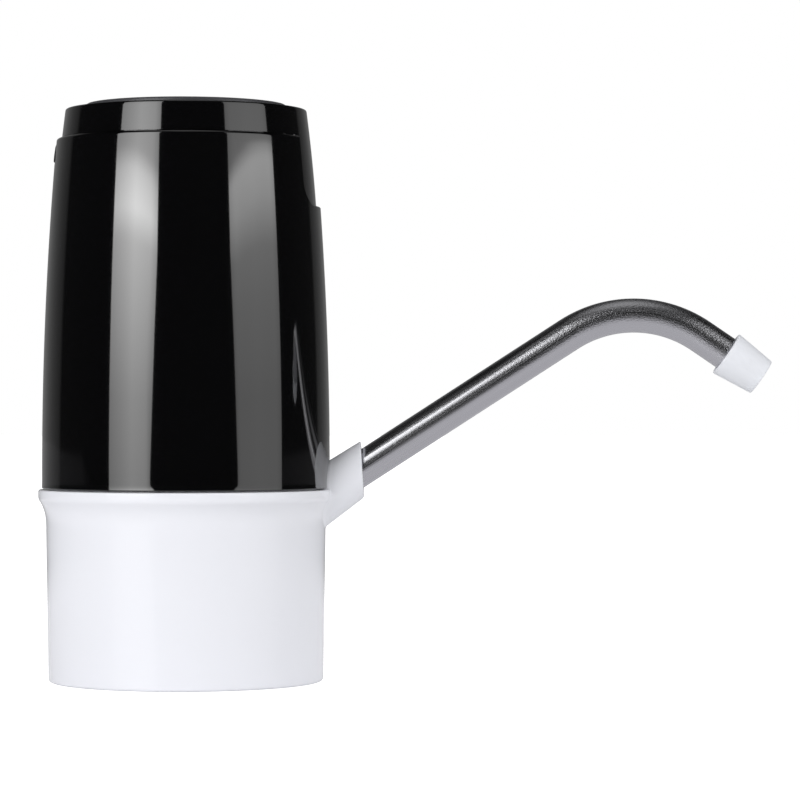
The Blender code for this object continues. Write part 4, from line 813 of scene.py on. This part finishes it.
class MakeCollar(bpy.types.Operator):
    """Turn the white collar and join its neck ribs, its slanted socket and its water way"""

    bl_idname = "pump.make_collar"
    bl_label = "Collar"

    def execute(self, context):
        sizes, colours = context.scene.pump_sizes, context.scene.pump_colours
        flare = [(collar_radius(height), height) for height in evenly(RIM_LOW, WAIST_HEIGHT, 10)]
        outline = softened([
            (0, SEAT_TOP), (UPSTAND_INNER, SEAT_TOP, 0.5), (UPSTAND_INNER, UPSTAND_TOP, 0.3),
            (UPSTAND_RADIUS, UPSTAND_TOP, 0.3), (UPSTAND_RADIUS, LEDGE), (RIM_RADIUS, LEDGE, 0.6),
            (*flare[0], 0.7), *flare[1:], (FOOT_RADIUS, SKIRT_FOOT, 0.9), (SKIRT_INNER, SKIRT_FOOT, 0.6),
            (SKIRT_INNER, 0, 0.8), (0, 0),
        ])
        collar = turned("moulded_collar", outline, BARREL_STEPS)
        socket = make_socket(sizes.socket_fillet / MM, sizes.mouth_round / MM)
        combine(collar, "UNION", self.make_ribs(), socket, *self.make_water_walls())
        combine(collar, "DIFFERENCE", *self.make_water_cutters(), *self.make_seat_cutters())
        finished(collar, "housing", ["collar"], moulded_white_abs(colours.white_plastic))
        return {"FINISHED"}

    def make_ribs(self):
        """One neck rib with its lead-in, copied round the axis into one mesh."""
        low = (NECK_RIB_RADIUS, -NECK_RIB_HALF, NECK_RIB_FOOT)
        rib = block("neck_rib", low, (SKIRT_INNER + 1, NECK_RIB_HALF, 1))
        with editing(rib):
            choose(rib, lambda place: place.x < NECK_RIB_RADIUS + 0.1 and place.z < NECK_RIB_FOOT + 0.1)
            bpy.ops.mesh.bevel(offset=NECK_RIB_LEAD_IN * MM, segments=4, affect="EDGES")
        copies = []
        for number in range(NECK_RIB_COUNT):
            copied = duplicate(rib, "neck_rib_copy")
            copied.rotation_euler.z = math.tau * (number + 0.5) / NECK_RIB_COUNT
            copies.append(settle(copied))
        bpy.data.meshes.remove(rib.data)
        only(*copies)
        bpy.ops.object.join()
        return copies[0]

    def barb_top(self):
        """Height of the barb's end in the outlet hose."""
        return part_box("outlet_hose")[0].z / MM + BARB_REACH

    def make_water_walls(self):
        """The socket's inner end, the slanted water way and the upright barb for the hose."""
        across, top = WATER_TURN.x, self.barb_top()
        root = (across, 0, SEAT_TOP - 1)
        way_start = WATER_TURN - SPOUT_AXIS * WATER_RADIUS
        return (
            rod("socket_neck", MOUTH - SPOUT_AXIS * 13, MOUTH - SPOUT_AXIS * 9, NECK_RADIUS, ROD_STEPS),
            rod("water_way", way_start, MOUTH - SPOUT_AXIS * 12, WATER_WALL_RADIUS),
            rod("boss", root, (across, 0, top - BOSS_DROP), BOSS_RADIUS),
            rod("barb", root, (across, 0, top), BARB_RADIUS),
        )

    def make_water_cutters(self):
        """The spout's bore with the seal's groove, and the water way behind it."""
        bore = [
            (0, 8), (BORE_RADIUS, 8), (BORE_RADIUS, -GROOVE_START), (GROOVE_RADIUS, -GROOVE_START),
            (GROOVE_RADIUS, -GROOVE_END), (BORE_RADIUS, -GROOVE_END), (BORE_RADIUS, -BORE_END), (0, -BORE_END),
        ]
        return (
            turned("bore", bore, SMALL_STEPS, MOUTH, SPOUT_AXIS),
            rod("slanted_way", WATER_TURN, SPOUT_START, WATER_RADIUS),
            rod("upright_way", WATER_TURN, (WATER_TURN.x, 0, self.barb_top() + 1), WATER_RADIUS),
        )

    def make_seat_cutters(self):
        """Recesses and holes of the base screws, and the intake's hole."""
        cutters = [rod("intake_hole", (*INTAKE, -1), (*INTAKE, SEAT_TOP + 1), INTAKE_HOLE, ROD_STEPS)]
        for number in range(3):
            low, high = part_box(f"base_screw_{number + 1}")
            middle = (low + high) / 2 / MM
            head, shank = SCREW_HEAD_RADIUS + GAP, SCREW_RADIUS + GAP
            recess = [(0, -1), (head + 0.4, -1), (head, 0.25), (head, 1.4), (shank, 1.4), (shank, 4), (0, 4)]
            cutters.append(turned("screw_recess", recess, ROD_STEPS, (middle.x, middle.y, 0)))
        return cutters


class MakeBarrel(bpy.types.Operator):
    """Turn the black barrel and cut its openings for the socket, the tongue and the port plug"""

    bl_idname = "pump.make_barrel"
    bl_label = "Barrel"

    def execute(self, context):
        sizes, colours = context.scene.pump_sizes, context.scene.pump_colours
        low, high = SHELL_LOW, SHELL_TOP - SHOULDER
        shoulder = [
            (shell_radius(high) - SHOULDER * (1 - math.cos(angle)), high + SHOULDER * math.sin(angle))
            for angle in evenly(math.pi / 2, 0, 8)
        ]
        heights = [*evenly(high, LIP_HEIGHT, 40)[1:], *evenly(LIP_HEIGHT, low + 0.3, 5)[1:]]
        outer = [(wall_radius(height), height) for height in heights]
        foot = [(shell_radius(low) - 0.05, low + 0.08), (shell_radius(low) - 0.25, low)]
        inner = [
            (shell_radius(height) - SHELL_WALL, height) for height in evenly(low, SHELL_TOP - 2.1, 12)
        ]
        bore = [(SHELL_BORE, SHELL_TOP - 1.1), (SHELL_BORE, SHELL_TOP)]
        barrel = turned("polished_barrel", shoulder + outer + foot + inner + bore, BARREL_STEPS)
        size = sizes.seam_round / MM
        tongue_room = opening_cutter(
            "tongue_room", lambda grow: tongue_outline(grow + GAP), capped_radius, 1, size
        )
        plug_room = opening_cutter(
            "plug_room", lambda grow: plug_outline(grow + GAP, CUT_TOP), capped_radius, -1, size
        )
        combine(barrel, "DIFFERENCE", make_arch_cutter(size), tongue_room, plug_room, self.make_notch())
        finished(
            barrel, "housing", ["barrel_shell"], polished_black_abs(colours.black_plastic)
        )
        return {"FINISHED"}

    def make_notch(self):
        """The round tool that leaves the shallow nail notch under the port plug."""
        across = -shell_radius(NOTCH_MIDDLE) - NOTCH_OUT
        place = (across * MM, 0, NOTCH_MIDDLE * MM)
        add = bpy.ops.mesh.primitive_uv_sphere_add
        notch = primitive("nail_notch", add, segments=96, ring_count=64, radius=MM, location=place)
        notch.scale = NOTCH_SIZE
        return settle(notch)


class MakeCover(bpy.types.Operator):
    """Turn the cover that closes the barrel and cut its long front tongue free"""

    bl_idname = "pump.make_cover"
    bl_label = "Cover"

    def execute(self, context):
        sizes = context.scene.pump_sizes
        apron, skirt_inner, recess = TONGUE_LOW - 2, SKIRT_RADIUS - SKIRT_WALL, PLATE_RADIUS + GAP
        cone = [(cover_radius(height), height) for height in evenly(COVER_TOP, apron, 28)]
        outline = softened([
            (*cone[0], 0.45), *cone[1:], (cover_radius(apron) - COVER_WALL, apron),
            (cover_radius(SKIRT_LOW) - COVER_WALL, SKIRT_LOW), (skirt_inner, SKIRT_LOW),
            (skirt_inner, FLOOR_LOW), (STEM_HOLE, FLOOR_LOW), (STEM_HOLE, FLOOR_TOP),
            (recess, FLOOR_TOP), (recess, COVER_TOP, 0.4),
        ])
        cover = turned("polished_cover", outline, BARREL_STEPS)
        # Below the cover only the tongue stays of the cone.
        outside, below = 45, apron - 2
        ring = [(outside, COVER_LOW), (outside, below), (SKIRT_RADIUS, below), (SKIRT_RADIUS, COVER_LOW)]
        beside = turned("beside_tongue", ring, BARREL_STEPS)
        combine(beside, "DIFFERENCE", opening_cutter(
            "tongue", tongue_outline, cover_radius, 1, sizes.seam_round / MM, -1
        ))
        windows = []
        for number in range(4):
            low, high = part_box(f"status_led_{number + 1}")
            middle = (low + high) / 2 / MM
            start, end = (middle.x, middle.y, FLOOR_LOW - 1.4), (middle.x, middle.y, FLOOR_TOP + 1)
            windows.append(rod("window", start, end, WINDOW_RADIUS))
        combine(cover, "DIFFERENCE", beside, block("port_gap", *PORT_GAP), *windows)
        combine(cover, "UNION", *self.make_snap_hooks())
        finished(cover, "housing", ["top_cover"], bpy.data.materials["polished black ABS"])
        return {"FINISHED"}

    def make_snap_hooks(self):
        """The hooks on the cover's inner skirt that hold it in the barrel."""
        hidden, proud = SKIRT_RADIUS - 0.8, SKIRT_RADIUS + HOOK_REACH
        outline = [
            (hidden, HOOK_LOW), (SKIRT_RADIUS - 0.1, HOOK_LOW), (proud, HOOK_LOW + 0.85),
            (proud, HOOK_TOP - 0.7), (SKIRT_RADIUS, HOOK_TOP), (hidden, HOOK_TOP),
        ]
        hooks = []
        for number in range(HOOK_COUNT):
            hook = turned("snap_hook", outline, BARREL_STEPS)
            width = block("hook_width", (20, -HOOK_HALF, 98), (40, HOOK_HALF, 106))
            width.rotation_euler.z = math.tau * (number + 0.5) / HOOK_COUNT
            hooks.append(combine(hook, "INTERSECT", settle(width)))
        return hooks


class MakePlate(bpy.types.Operator):
    """Turn the raised top plate and the frosted light ring in it"""

    bl_idname = "pump.make_plate"
    bl_label = "Plate and light ring"

    def execute(self, context):
        plate = turned("raised_plate", softened([
            (PLATE_RADIUS, PLATE_TOP, 0.7), (PLATE_RADIUS, PLATE_LOW), (PLATE_HOLE, PLATE_LOW),
            (PLATE_HOLE, PLATE_TOP, 0.3),
        ]), BARREL_STEPS)
        finished(plate, "housing", ["top_plate"], satin_abs("satin black ABS", linear("#424246")))
        light = turned("frosted_light_ring", softened([
            (RING_OUTER, BUTTON_TOP, 0.3), (RING_OUTER, PLATE_LOW), (RING_INNER, PLATE_LOW),
            (RING_INNER, BUTTON_TOP, 0.3),
        ]), RING_STEPS)
        finished(light, "housing", ["light_ring"], frosted_polycarbonate())
        return {"FINISHED"}


class MakeButton(bpy.types.Operator):
    """Turn the slightly dished power button and give it its printed symbol"""

    bl_idname = "pump.make_button"
    bl_label = "Power button"

    def execute(self, context):
        sizes, colours = context.scene.pump_sizes, context.scene.pump_colours
        dish = sizes.button_dish / MM
        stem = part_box("power_button")[0].z / MM
        face = [
            (radius, BUTTON_TOP - dish * (1 - (radius / DISH_RADIUS) ** 2))
            for radius in evenly(0, DISH_RADIUS, 8)
        ]
        button = turned("satin_button", softened([
            *face, (BUTTON_RADIUS, BUTTON_TOP, 0.6), (BUTTON_RADIUS, BUTTON_LOW, 0.2),
            (STEM_RADIUS, BUTTON_LOW), (STEM_RADIUS, stem), (0, stem),
        ]), RING_STEPS)
        finished(button, "button", ["power_button"], satin_abs("satin grey ABS", colours.button))
        self.make_symbol(BUTTON_TOP - dish)
        return {"FINISHED"}

    def make_symbol(self, height):
        """The usual sign of a power switch: an open circle with a bar in the gap."""
        low, high = height - SYMBOL_DEPTH, height + SYMBOL_PROUD
        outline = [(SYMBOL_OUTER, high), (SYMBOL_OUTER, low), (SYMBOL_INNER, low), (SYMBOL_INNER, high)]
        symbol = turned("power_symbol", outline, TUBE_STEPS)
        start, end = SYMBOL_BAR
        combine(symbol, "DIFFERENCE", block("symbol_gap", (-1.1, 1, height - 1), (1.1, 5, height + 1)))
        bar = block("symbol_bar", (-SYMBOL_BAR_HALF, start, low), (SYMBOL_BAR_HALF, end, high))
        combine(symbol, "UNION", bar)
        finished(symbol, "button", [], printed_ink())


class MakePlug(bpy.types.Operator):
    """Form the soft plug of the charging port on the barrel's curve"""

    bl_idname = "pump.make_plug"
    bl_label = "Port plug"

    def execute(self, context):
        middle = (PLUG_LOW + PLUG_TOP) / 2
        rings = [
            [(-PLUG_BACK - step, y, z) for y, z in plug_outline(step - 0.2)] for step in (0, 0.2)
        ]
        for depth, inset in edge_round(PLUG_EDGE, 90, 4):
            rings.append(sideways(plug_outline(-inset), plug_radius, depth, -1))
        for share in (0.8, 0.6, 0.4, 0.2, 0.02):
            inner = [(y * share, middle + (z - middle) * share) for y, z in plug_outline(-PLUG_EDGE)]
            rings.append(sideways(inner, plug_radius, 0, -1))
        plug = lofted("soft_port_plug", rings)
        combine(plug, "UNION", block("plug_tab", *PLUG_TAB, round_edges=0.3))
        finished(plug, "plug", ["port_plug"], soft_rubber())
        return {"FINISHED"}


class MakeSpout(bpy.types.Operator):
    """Bend the steel spout from a circle and give its wall a thickness"""

    bl_idname = "pump.make_spout"
    bl_label = "Spout"

    def execute(self, context):
        spout = settle(primitive(
            "steel_spout", bpy.ops.mesh.primitive_circle_add, vertices=TUBE_STEPS, radius=SPOUT_RADIUS * MM,
            fill_type="NOTHING", location=SPOUT_START * MM, rotation=(0, math.pi / 2 - SPOUT_RISE, 0),
        ))
        straight, bend = SPOUT_INSERTION + SPOUT_STRAIGHT, SPOUT_RISE + SPOUT_DROP
        with editing(spout):
            for _ in range(10):
                move = SPOUT_AXIS * straight / 10 * MM
                bpy.ops.mesh.extrude_region_move(TRANSFORM_OT_translate={"value": move})
            bpy.ops.mesh.spin(steps=60, angle=bend, center=BEND_CENTRE * MM, axis=(0, -1, 0))
            end = NOZZLE_AXIS * (SPOUT_END + NOZZLE_GRIP - GAP) * MM
            bpy.ops.mesh.extrude_region_move(TRANSFORM_OT_translate={"value": end})
            cleaned()
        self.lay_out(spout, straight, bend)
        applied(spout, "SOLIDIFY", thickness=SPOUT_WALL * MM, offset=-1)
        steel = drawn_stainless(context.scene.pump_colours.steel)
        finished(spout, "spout", ["spout_tube"], steel)
        return {"FINISHED"}

    def lay_out(self, spout, straight, bend):
        """Stores where each vertex was on the straight pipe, for streaks that follow the bend."""
        attribute = spout.data.attributes.new("unbent_pipe", "FLOAT_VECTOR", "POINT")
        for vertex, value in zip(spout.data.vertices, attribute.data):
            place = vertex.co / MM
            arm = place - BEND_CENTRE
            far, rise = (place - SPOUT_START).dot(SPOUT_AXIS), (place - SPOUT_START).dot(SPOUT_UP)
            if far > straight:
                turn = min(math.atan2(arm.x, arm.z) + SPOUT_RISE, bend)
                far, rise = straight + turn * SPOUT_BEND_RADIUS, math.hypot(arm.x, arm.z) - SPOUT_BEND_RADIUS
                if turn == bend:
                    far, rise = far + arm.dot(NOZZLE_AXIS), arm.dot(NOZZLE_UP) - SPOUT_BEND_RADIUS
            value.vector = Vector((far, place.y, rise)) * MM


class MakeNozzle(bpy.types.Operator):
    """Turn the soft nozzle on the spout's end"""

    bl_idname = "pump.make_nozzle"
    bl_label = "Nozzle"

    def execute(self, context):
        outline = softened([
            (NOZZLE_TIP_RADIUS, NOZZLE_TIP, 0.4), (NOZZLE_BASE_RADIUS, NOZZLE_FOOT, 0.4),
            (BORE_RADIUS, NOZZLE_FOOT, 0.15), (BORE_RADIUS, NOZZLE_GRIP), (NOZZLE_BORE_RADIUS, NOZZLE_GRIP),
            (NOZZLE_BORE_RADIUS, NOZZLE_TIP, 0.3),
        ])
        nozzle = turned("soft_nozzle", outline, RING_STEPS, NOZZLE_START, NOZZLE_AXIS)
        silicone = moulded_silicone(context.scene.pump_colours.silicone)
        finished(nozzle, "nozzle", ["spout_nozzle"], silicone)
        return {"FINISHED"}


class MakeIntake(bpy.types.Operator):
    """Turn the barbed intake nipple under the seat"""

    bl_idname = "pump.make_intake"
    bl_label = "Intake nipple"

    def execute(self, context):
        barbs = []
        for top in (-4, -7, -10):
            barbs += [(INTAKE_RADIUS, top), (INTAKE_BARB, top, 0.1), (INTAKE_RADIUS, top - 2.6)]
        outline = softened([
            (INTAKE_RADIUS, 9.5, 0.2), (INTAKE_RADIUS, 4), (INTAKE_FLANGE, 4, 0.2), (INTAKE_FLANGE, 2.8),
            (INTAKE_BARB, 2.8), (INTAKE_BARB, -0.3), (INTAKE_RADIUS, -0.3),
            *barbs, (INTAKE_RADIUS, -14, 0.4), (INTAKE_BORE, -14), (INTAKE_BORE, 9.5),
        ])
        intake = turned("barbed_intake", outline, TUBE_STEPS, (*INTAKE, 0))
        white = bpy.data.materials["moulded white ABS"]
        finished(intake, "housing", ["intake_nipple"], white)
        return {"FINISHED"}


class MakeScrews(bpy.types.Operator):
    """Model one base screw with its cross recess and copy it to the three places"""

    bl_idname = "pump.make_screws"
    bl_label = "Base screws"

    def execute(self, context):
        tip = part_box("base_screw_1")[1].z / MM
        first = turned("screw_model", softened([
            (0, 0), (SCREW_HEAD_RADIUS, 0, 0.7), (SCREW_HEAD_RADIUS, SCREW_HEAD), (SCREW_RADIUS, SCREW_HEAD),
            (SCREW_RADIUS, tip - 0.8), (0.5, tip), (0, tip),
        ]), SMALL_STEPS)
        for across, along in [(1.5, 0.3), (0.3, 1.5)]:
            arm = block("cross", (-across, -along, -0.5), (across, along, 0.65))
            combine(first, "DIFFERENCE", arm)
        zinc = zinc_plating()
        for number in range(1, 4):
            low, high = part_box(f"base_screw_{number}")
            copied = duplicate(first, f"cross_head_screw_{number}")
            copied.location = ((low.x + high.x) / 2, (low.y + high.y) / 2, 0)
            finished(copied, "housing", [f"base_screw_{number}"], zinc)
        bpy.data.meshes.remove(first.data)
        return {"FINISHED"}


class FinishInside(bpy.types.Operator):
    """Give the solids that stay inside the pump their materials"""

    bl_idname = "pump.finish_inside"
    bl_label = "Inner pieces"

    def execute(self, context):
        for name in ("pump_diaphragm", "seal_ring"):
            dress(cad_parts[name], bpy.data.materials["moulded white silicone"])
        for material, code, size, height, sockets, nodes in INNER_FINISHES:
            made = grained(material, linear(code), size, height, sockets)
            for name in nodes:
                dress(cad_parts[name], made)
        return {"FINISHED"}


class SetStage(bpy.types.Operator):
    """Set up the pale floor, the two softboxes, the world and the camera"""

    bl_idname = "pump.set_stage"
    bl_label = "Studio"

    def execute(self, context):
        settings = context.scene.pump_stage
        self.make_floor(settings.floor)
        self.make_softbox("left_softbox", settings.left_light, *LEFT_SOFTBOX)
        self.make_softbox("right_softbox", settings.right_light, *RIGHT_SOFTBOX)
        self.make_world(context)
        self.make_camera(context)
        context.scene.view_settings.view_transform = "Standard"
        return {"FINISHED"}

    def make_floor(self, tint):
        """A wide floor, white to the camera but for the object's shadow."""
        add, place = bpy.ops.mesh.primitive_plane_add, (0, 0, SKIRT_FOOT * MM)
        floor = settle(primitive("studio_floor", add, size=FLOOR_SIZE, location=place))
        made = bpy.data.materials.new("seamless paper")
        tree = emptied(made)
        path = add_node(tree, "LightPath").outputs
        matt = add_node(tree, "BsdfDiffuse", {"Color": (*tint, 1)})
        lift = maths(tree, "MULTIPLY", path["Is Camera Ray"], 0.7)
        both = add_node(tree, "AddShader", {0: matt, 1: add_node(tree, "Emission", {"Strength": lift})})
        # Reflections see a glow painted on the paper, bright near and behind the pump, under a clear sheet.
        place = add_node(tree, "TexCoord").outputs["Object"]
        front = ranged(tree, parts_of(tree, place)["Y"], -0.45, -0.15)
        away = add_node(tree, "VectorMath", {0: place}, operation="LENGTH").outputs["Value"]
        near = ranged(tree, away, 0.27, 0.55, 0.62, 0.04)
        level = maths(tree, "MULTIPLY", front, near)
        seen = add_node(tree, "Emission", {"Color": (0.97, 0.96, 1, 1), "Strength": level})
        fresnel = add_node(tree, "Fresnel", {"IOR": 1.49})
        mirror = add_node(tree, "BsdfGlossy", {"Color": fresnel, "Roughness": 0.0})
        painted_glow_and_mirror = add_node(tree, "AddShader", {0: seen, 1: mirror})
        pick = add_node(tree, "MixShader", {0: path["Is Glossy Ray"], 1: both, 2: painted_glow_and_mirror})
        add_node(tree, "OutputMaterial", {"Surface": pick})
        floor.data.materials.append(made)

    def make_softbox(self, name, strength, outer, inner, upwards, across):
        """An upright panel between two azimuths in degrees, with its strength graded both ways."""
        low, high = SKIRT_FOOT * MM, PANEL_TOP
        middle = math.radians((outer + inner) / 2)
        half = PANEL_DISTANCE * math.tan(math.radians(abs(inner - outer) / 2))
        along, level_with = math.sin(middle) * PANEL_DISTANCE, -math.cos(middle) * PANEL_DISTANCE
        panel = primitive(
            name, bpy.ops.mesh.primitive_plane_add, size=1, location=(along, level_with, (low + high) / 2),
            rotation=(-math.pi / 2, 0, middle),
        )
        panel.scale = (2 * half, high - low, 1)
        settle(panel)
        # The inner edge leans outwards below, as its reflection does.
        side = Vector((math.cos(middle), math.sin(middle), 0)) * (1 if inner > outer else -1)
        with editing(panel):
            bpy.ops.mesh.subdivide(number_cuts=3)
            choose(panel, lambda place: place.z * MM < low + 0.01 and (place * MM).dot(side) > half - 0.01)
            bpy.ops.transform.translate(value=side * -PANEL_LEAN)
        panel.visible_camera = False
        made = bpy.data.materials.new(name)
        tree = emptied(made)
        place = add_node(tree, "TexCoord").outputs
        height = ranged(tree, parts_of(tree, place["Object"])["Z"], low, high)
        share = parts_of(tree, place["UV"])["X"]
        # A ramp holds nothing above one, so its levels are divided first and multiplied afterwards.
        rise = add_node(tree, "ValToRGB", {"Fac": height}, [(at, level / STRONGEST) for at, level in upwards])
        width = add_node(tree, "ValToRGB", {"Fac": share}, [(at, level / WIDEST) for at, level in across])
        level = maths(tree, "MULTIPLY", maths(tree, "MULTIPLY", rise, width), STRONGEST * WIDEST * strength)
        glow = add_node(tree, "Emission", {"Strength": level})
        back = add_node(tree, "NewGeometry").outputs["Backfacing"]
        pick = add_node(tree, "MixShader", {0: back, 1: glow, 2: add_node(tree, "BsdfTransparent")})
        add_node(tree, "OutputMaterial", {"Surface": pick})
        panel.data.materials.append(made)

    def make_world(self, context):
        """White to the camera, a pale backdrop behind and a dark room in front to reflections."""
        context.scene.world = bpy.data.worlds.new("studio")
        tree = emptied(context.scene.world)
        way = parts_of(tree, add_node(tree, "TexCoord").outputs["Generated"])
        path = add_node(tree, "LightPath").outputs
        backwards = maths(tree, "MULTIPLY_ADD", way["X"], -0.15, way["Y"])
        behind = add_node(tree, "ValToRGB", {"Fac": backwards}, BACKDROP)
        ceiling = ranged(tree, way["Z"], 0.5, 0.68, 1.0, 0.3, interpolation_type="SMOOTHSTEP")
        room = maths(tree, "MULTIPLY", behind, ceiling)
        # A dim light overhead, narrower from side to side than from front to back.
        across = maths(tree, "MULTIPLY_ADD", maths(tree, "ABSOLUTE", way["X"]), -0.9, way["Z"])
        along = maths(tree, "ABSOLUTE", maths(tree, "ADD", way["Y"], 0.1))
        overhead = maths(tree, "MULTIPLY_ADD", along, -0.5, across)
        strip = ranged(tree, overhead, 0.4, 0.8, 0.0, 0.42, interpolation_type="SMOOTHSTEP")
        mirrored = maths(tree, "MAXIMUM", room, strip)
        # Matt surfaces get more light from low down and from the right.
        above = ranged(tree, way["Z"], 0.0, 0.7, 0.8, 0.35)
        beside = ranged(tree, way["X"], -1.0, 1.0, 0.7, 2.05)
        soft = maths(tree, "MULTIPLY", above, beside)
        seen = add_node(tree, "Mix", {"Factor": path["Is Glossy Ray"], "A": soft, "B": mirrored})
        level = add_node(tree, "Mix", {"Factor": path["Is Camera Ray"], "A": seen, "B": 1.0})
        sky = add_node(tree, "Background", {"Color": (1, 1, 1, 1), "Strength": level})
        add_node(tree, "OutputWorld", {"Surface": sky})

    def make_camera(self, context):
        """A level camera in front of the pump, as in the photograph."""
        bpy.ops.object.camera_add(location=CAMERA_PLACE, rotation=(math.pi / 2, 0, 0))
        camera = bpy.context.active_object
        camera.name = "front_camera"
        camera.data.lens = CAMERA_LENS
        camera.data.sensor_width = SENSOR_WIDTH
        camera.data.clip_start = 0.01
        context.scene.camera = camera


OPERATORS = (
    MakeCollar, MakeBarrel, MakeCover, MakePlate, MakeButton, MakePlug, MakeSpout, MakeNozzle, MakeIntake,
    MakeScrews, FinishInside, SetStage,
)


class PumpPanel(bpy.types.Panel):
    """Sizes, colours and steps of the pump"""

    bl_idname = "VIEW3D_PT_bottled_water_pump"
    bl_label = "Bottled Water Pump"
    bl_space_type = "VIEW_3D"
    bl_region_type = "UI"
    bl_category = "Pump"

    def draw(self, context):
        scene = context.scene
        for group in (scene.pump_sizes, scene.pump_colours, scene.pump_stage):
            box = self.layout.box()
            for name in group.__annotations__:
                box.prop(group, name)
        for operator in OPERATORS:
            self.layout.operator(operator.bl_idname)


CLASSES = (PumpSizes, PumpColours, PumpStage, *OPERATORS, PumpPanel)


def register():
    for made in CLASSES:
        bpy.utils.register_class(made)
    bpy.types.Scene.pump_sizes = PointerProperty(type=PumpSizes)
    bpy.types.Scene.pump_colours = PointerProperty(type=PumpColours)
    bpy.types.Scene.pump_stage = PointerProperty(type=PumpStage)


def unregister():
    for name in ("pump_sizes", "pump_colours", "pump_stage"):
        delattr(bpy.types.Scene, name)
    for made in reversed(CLASSES):
        bpy.utils.unregister_class(made)


def main():
    register()
    for operator in OPERATORS:
        group, name = operator.bl_idname.split(".")
        getattr(getattr(bpy.ops, group), name)()


if __name__ == "__main__":
    main()
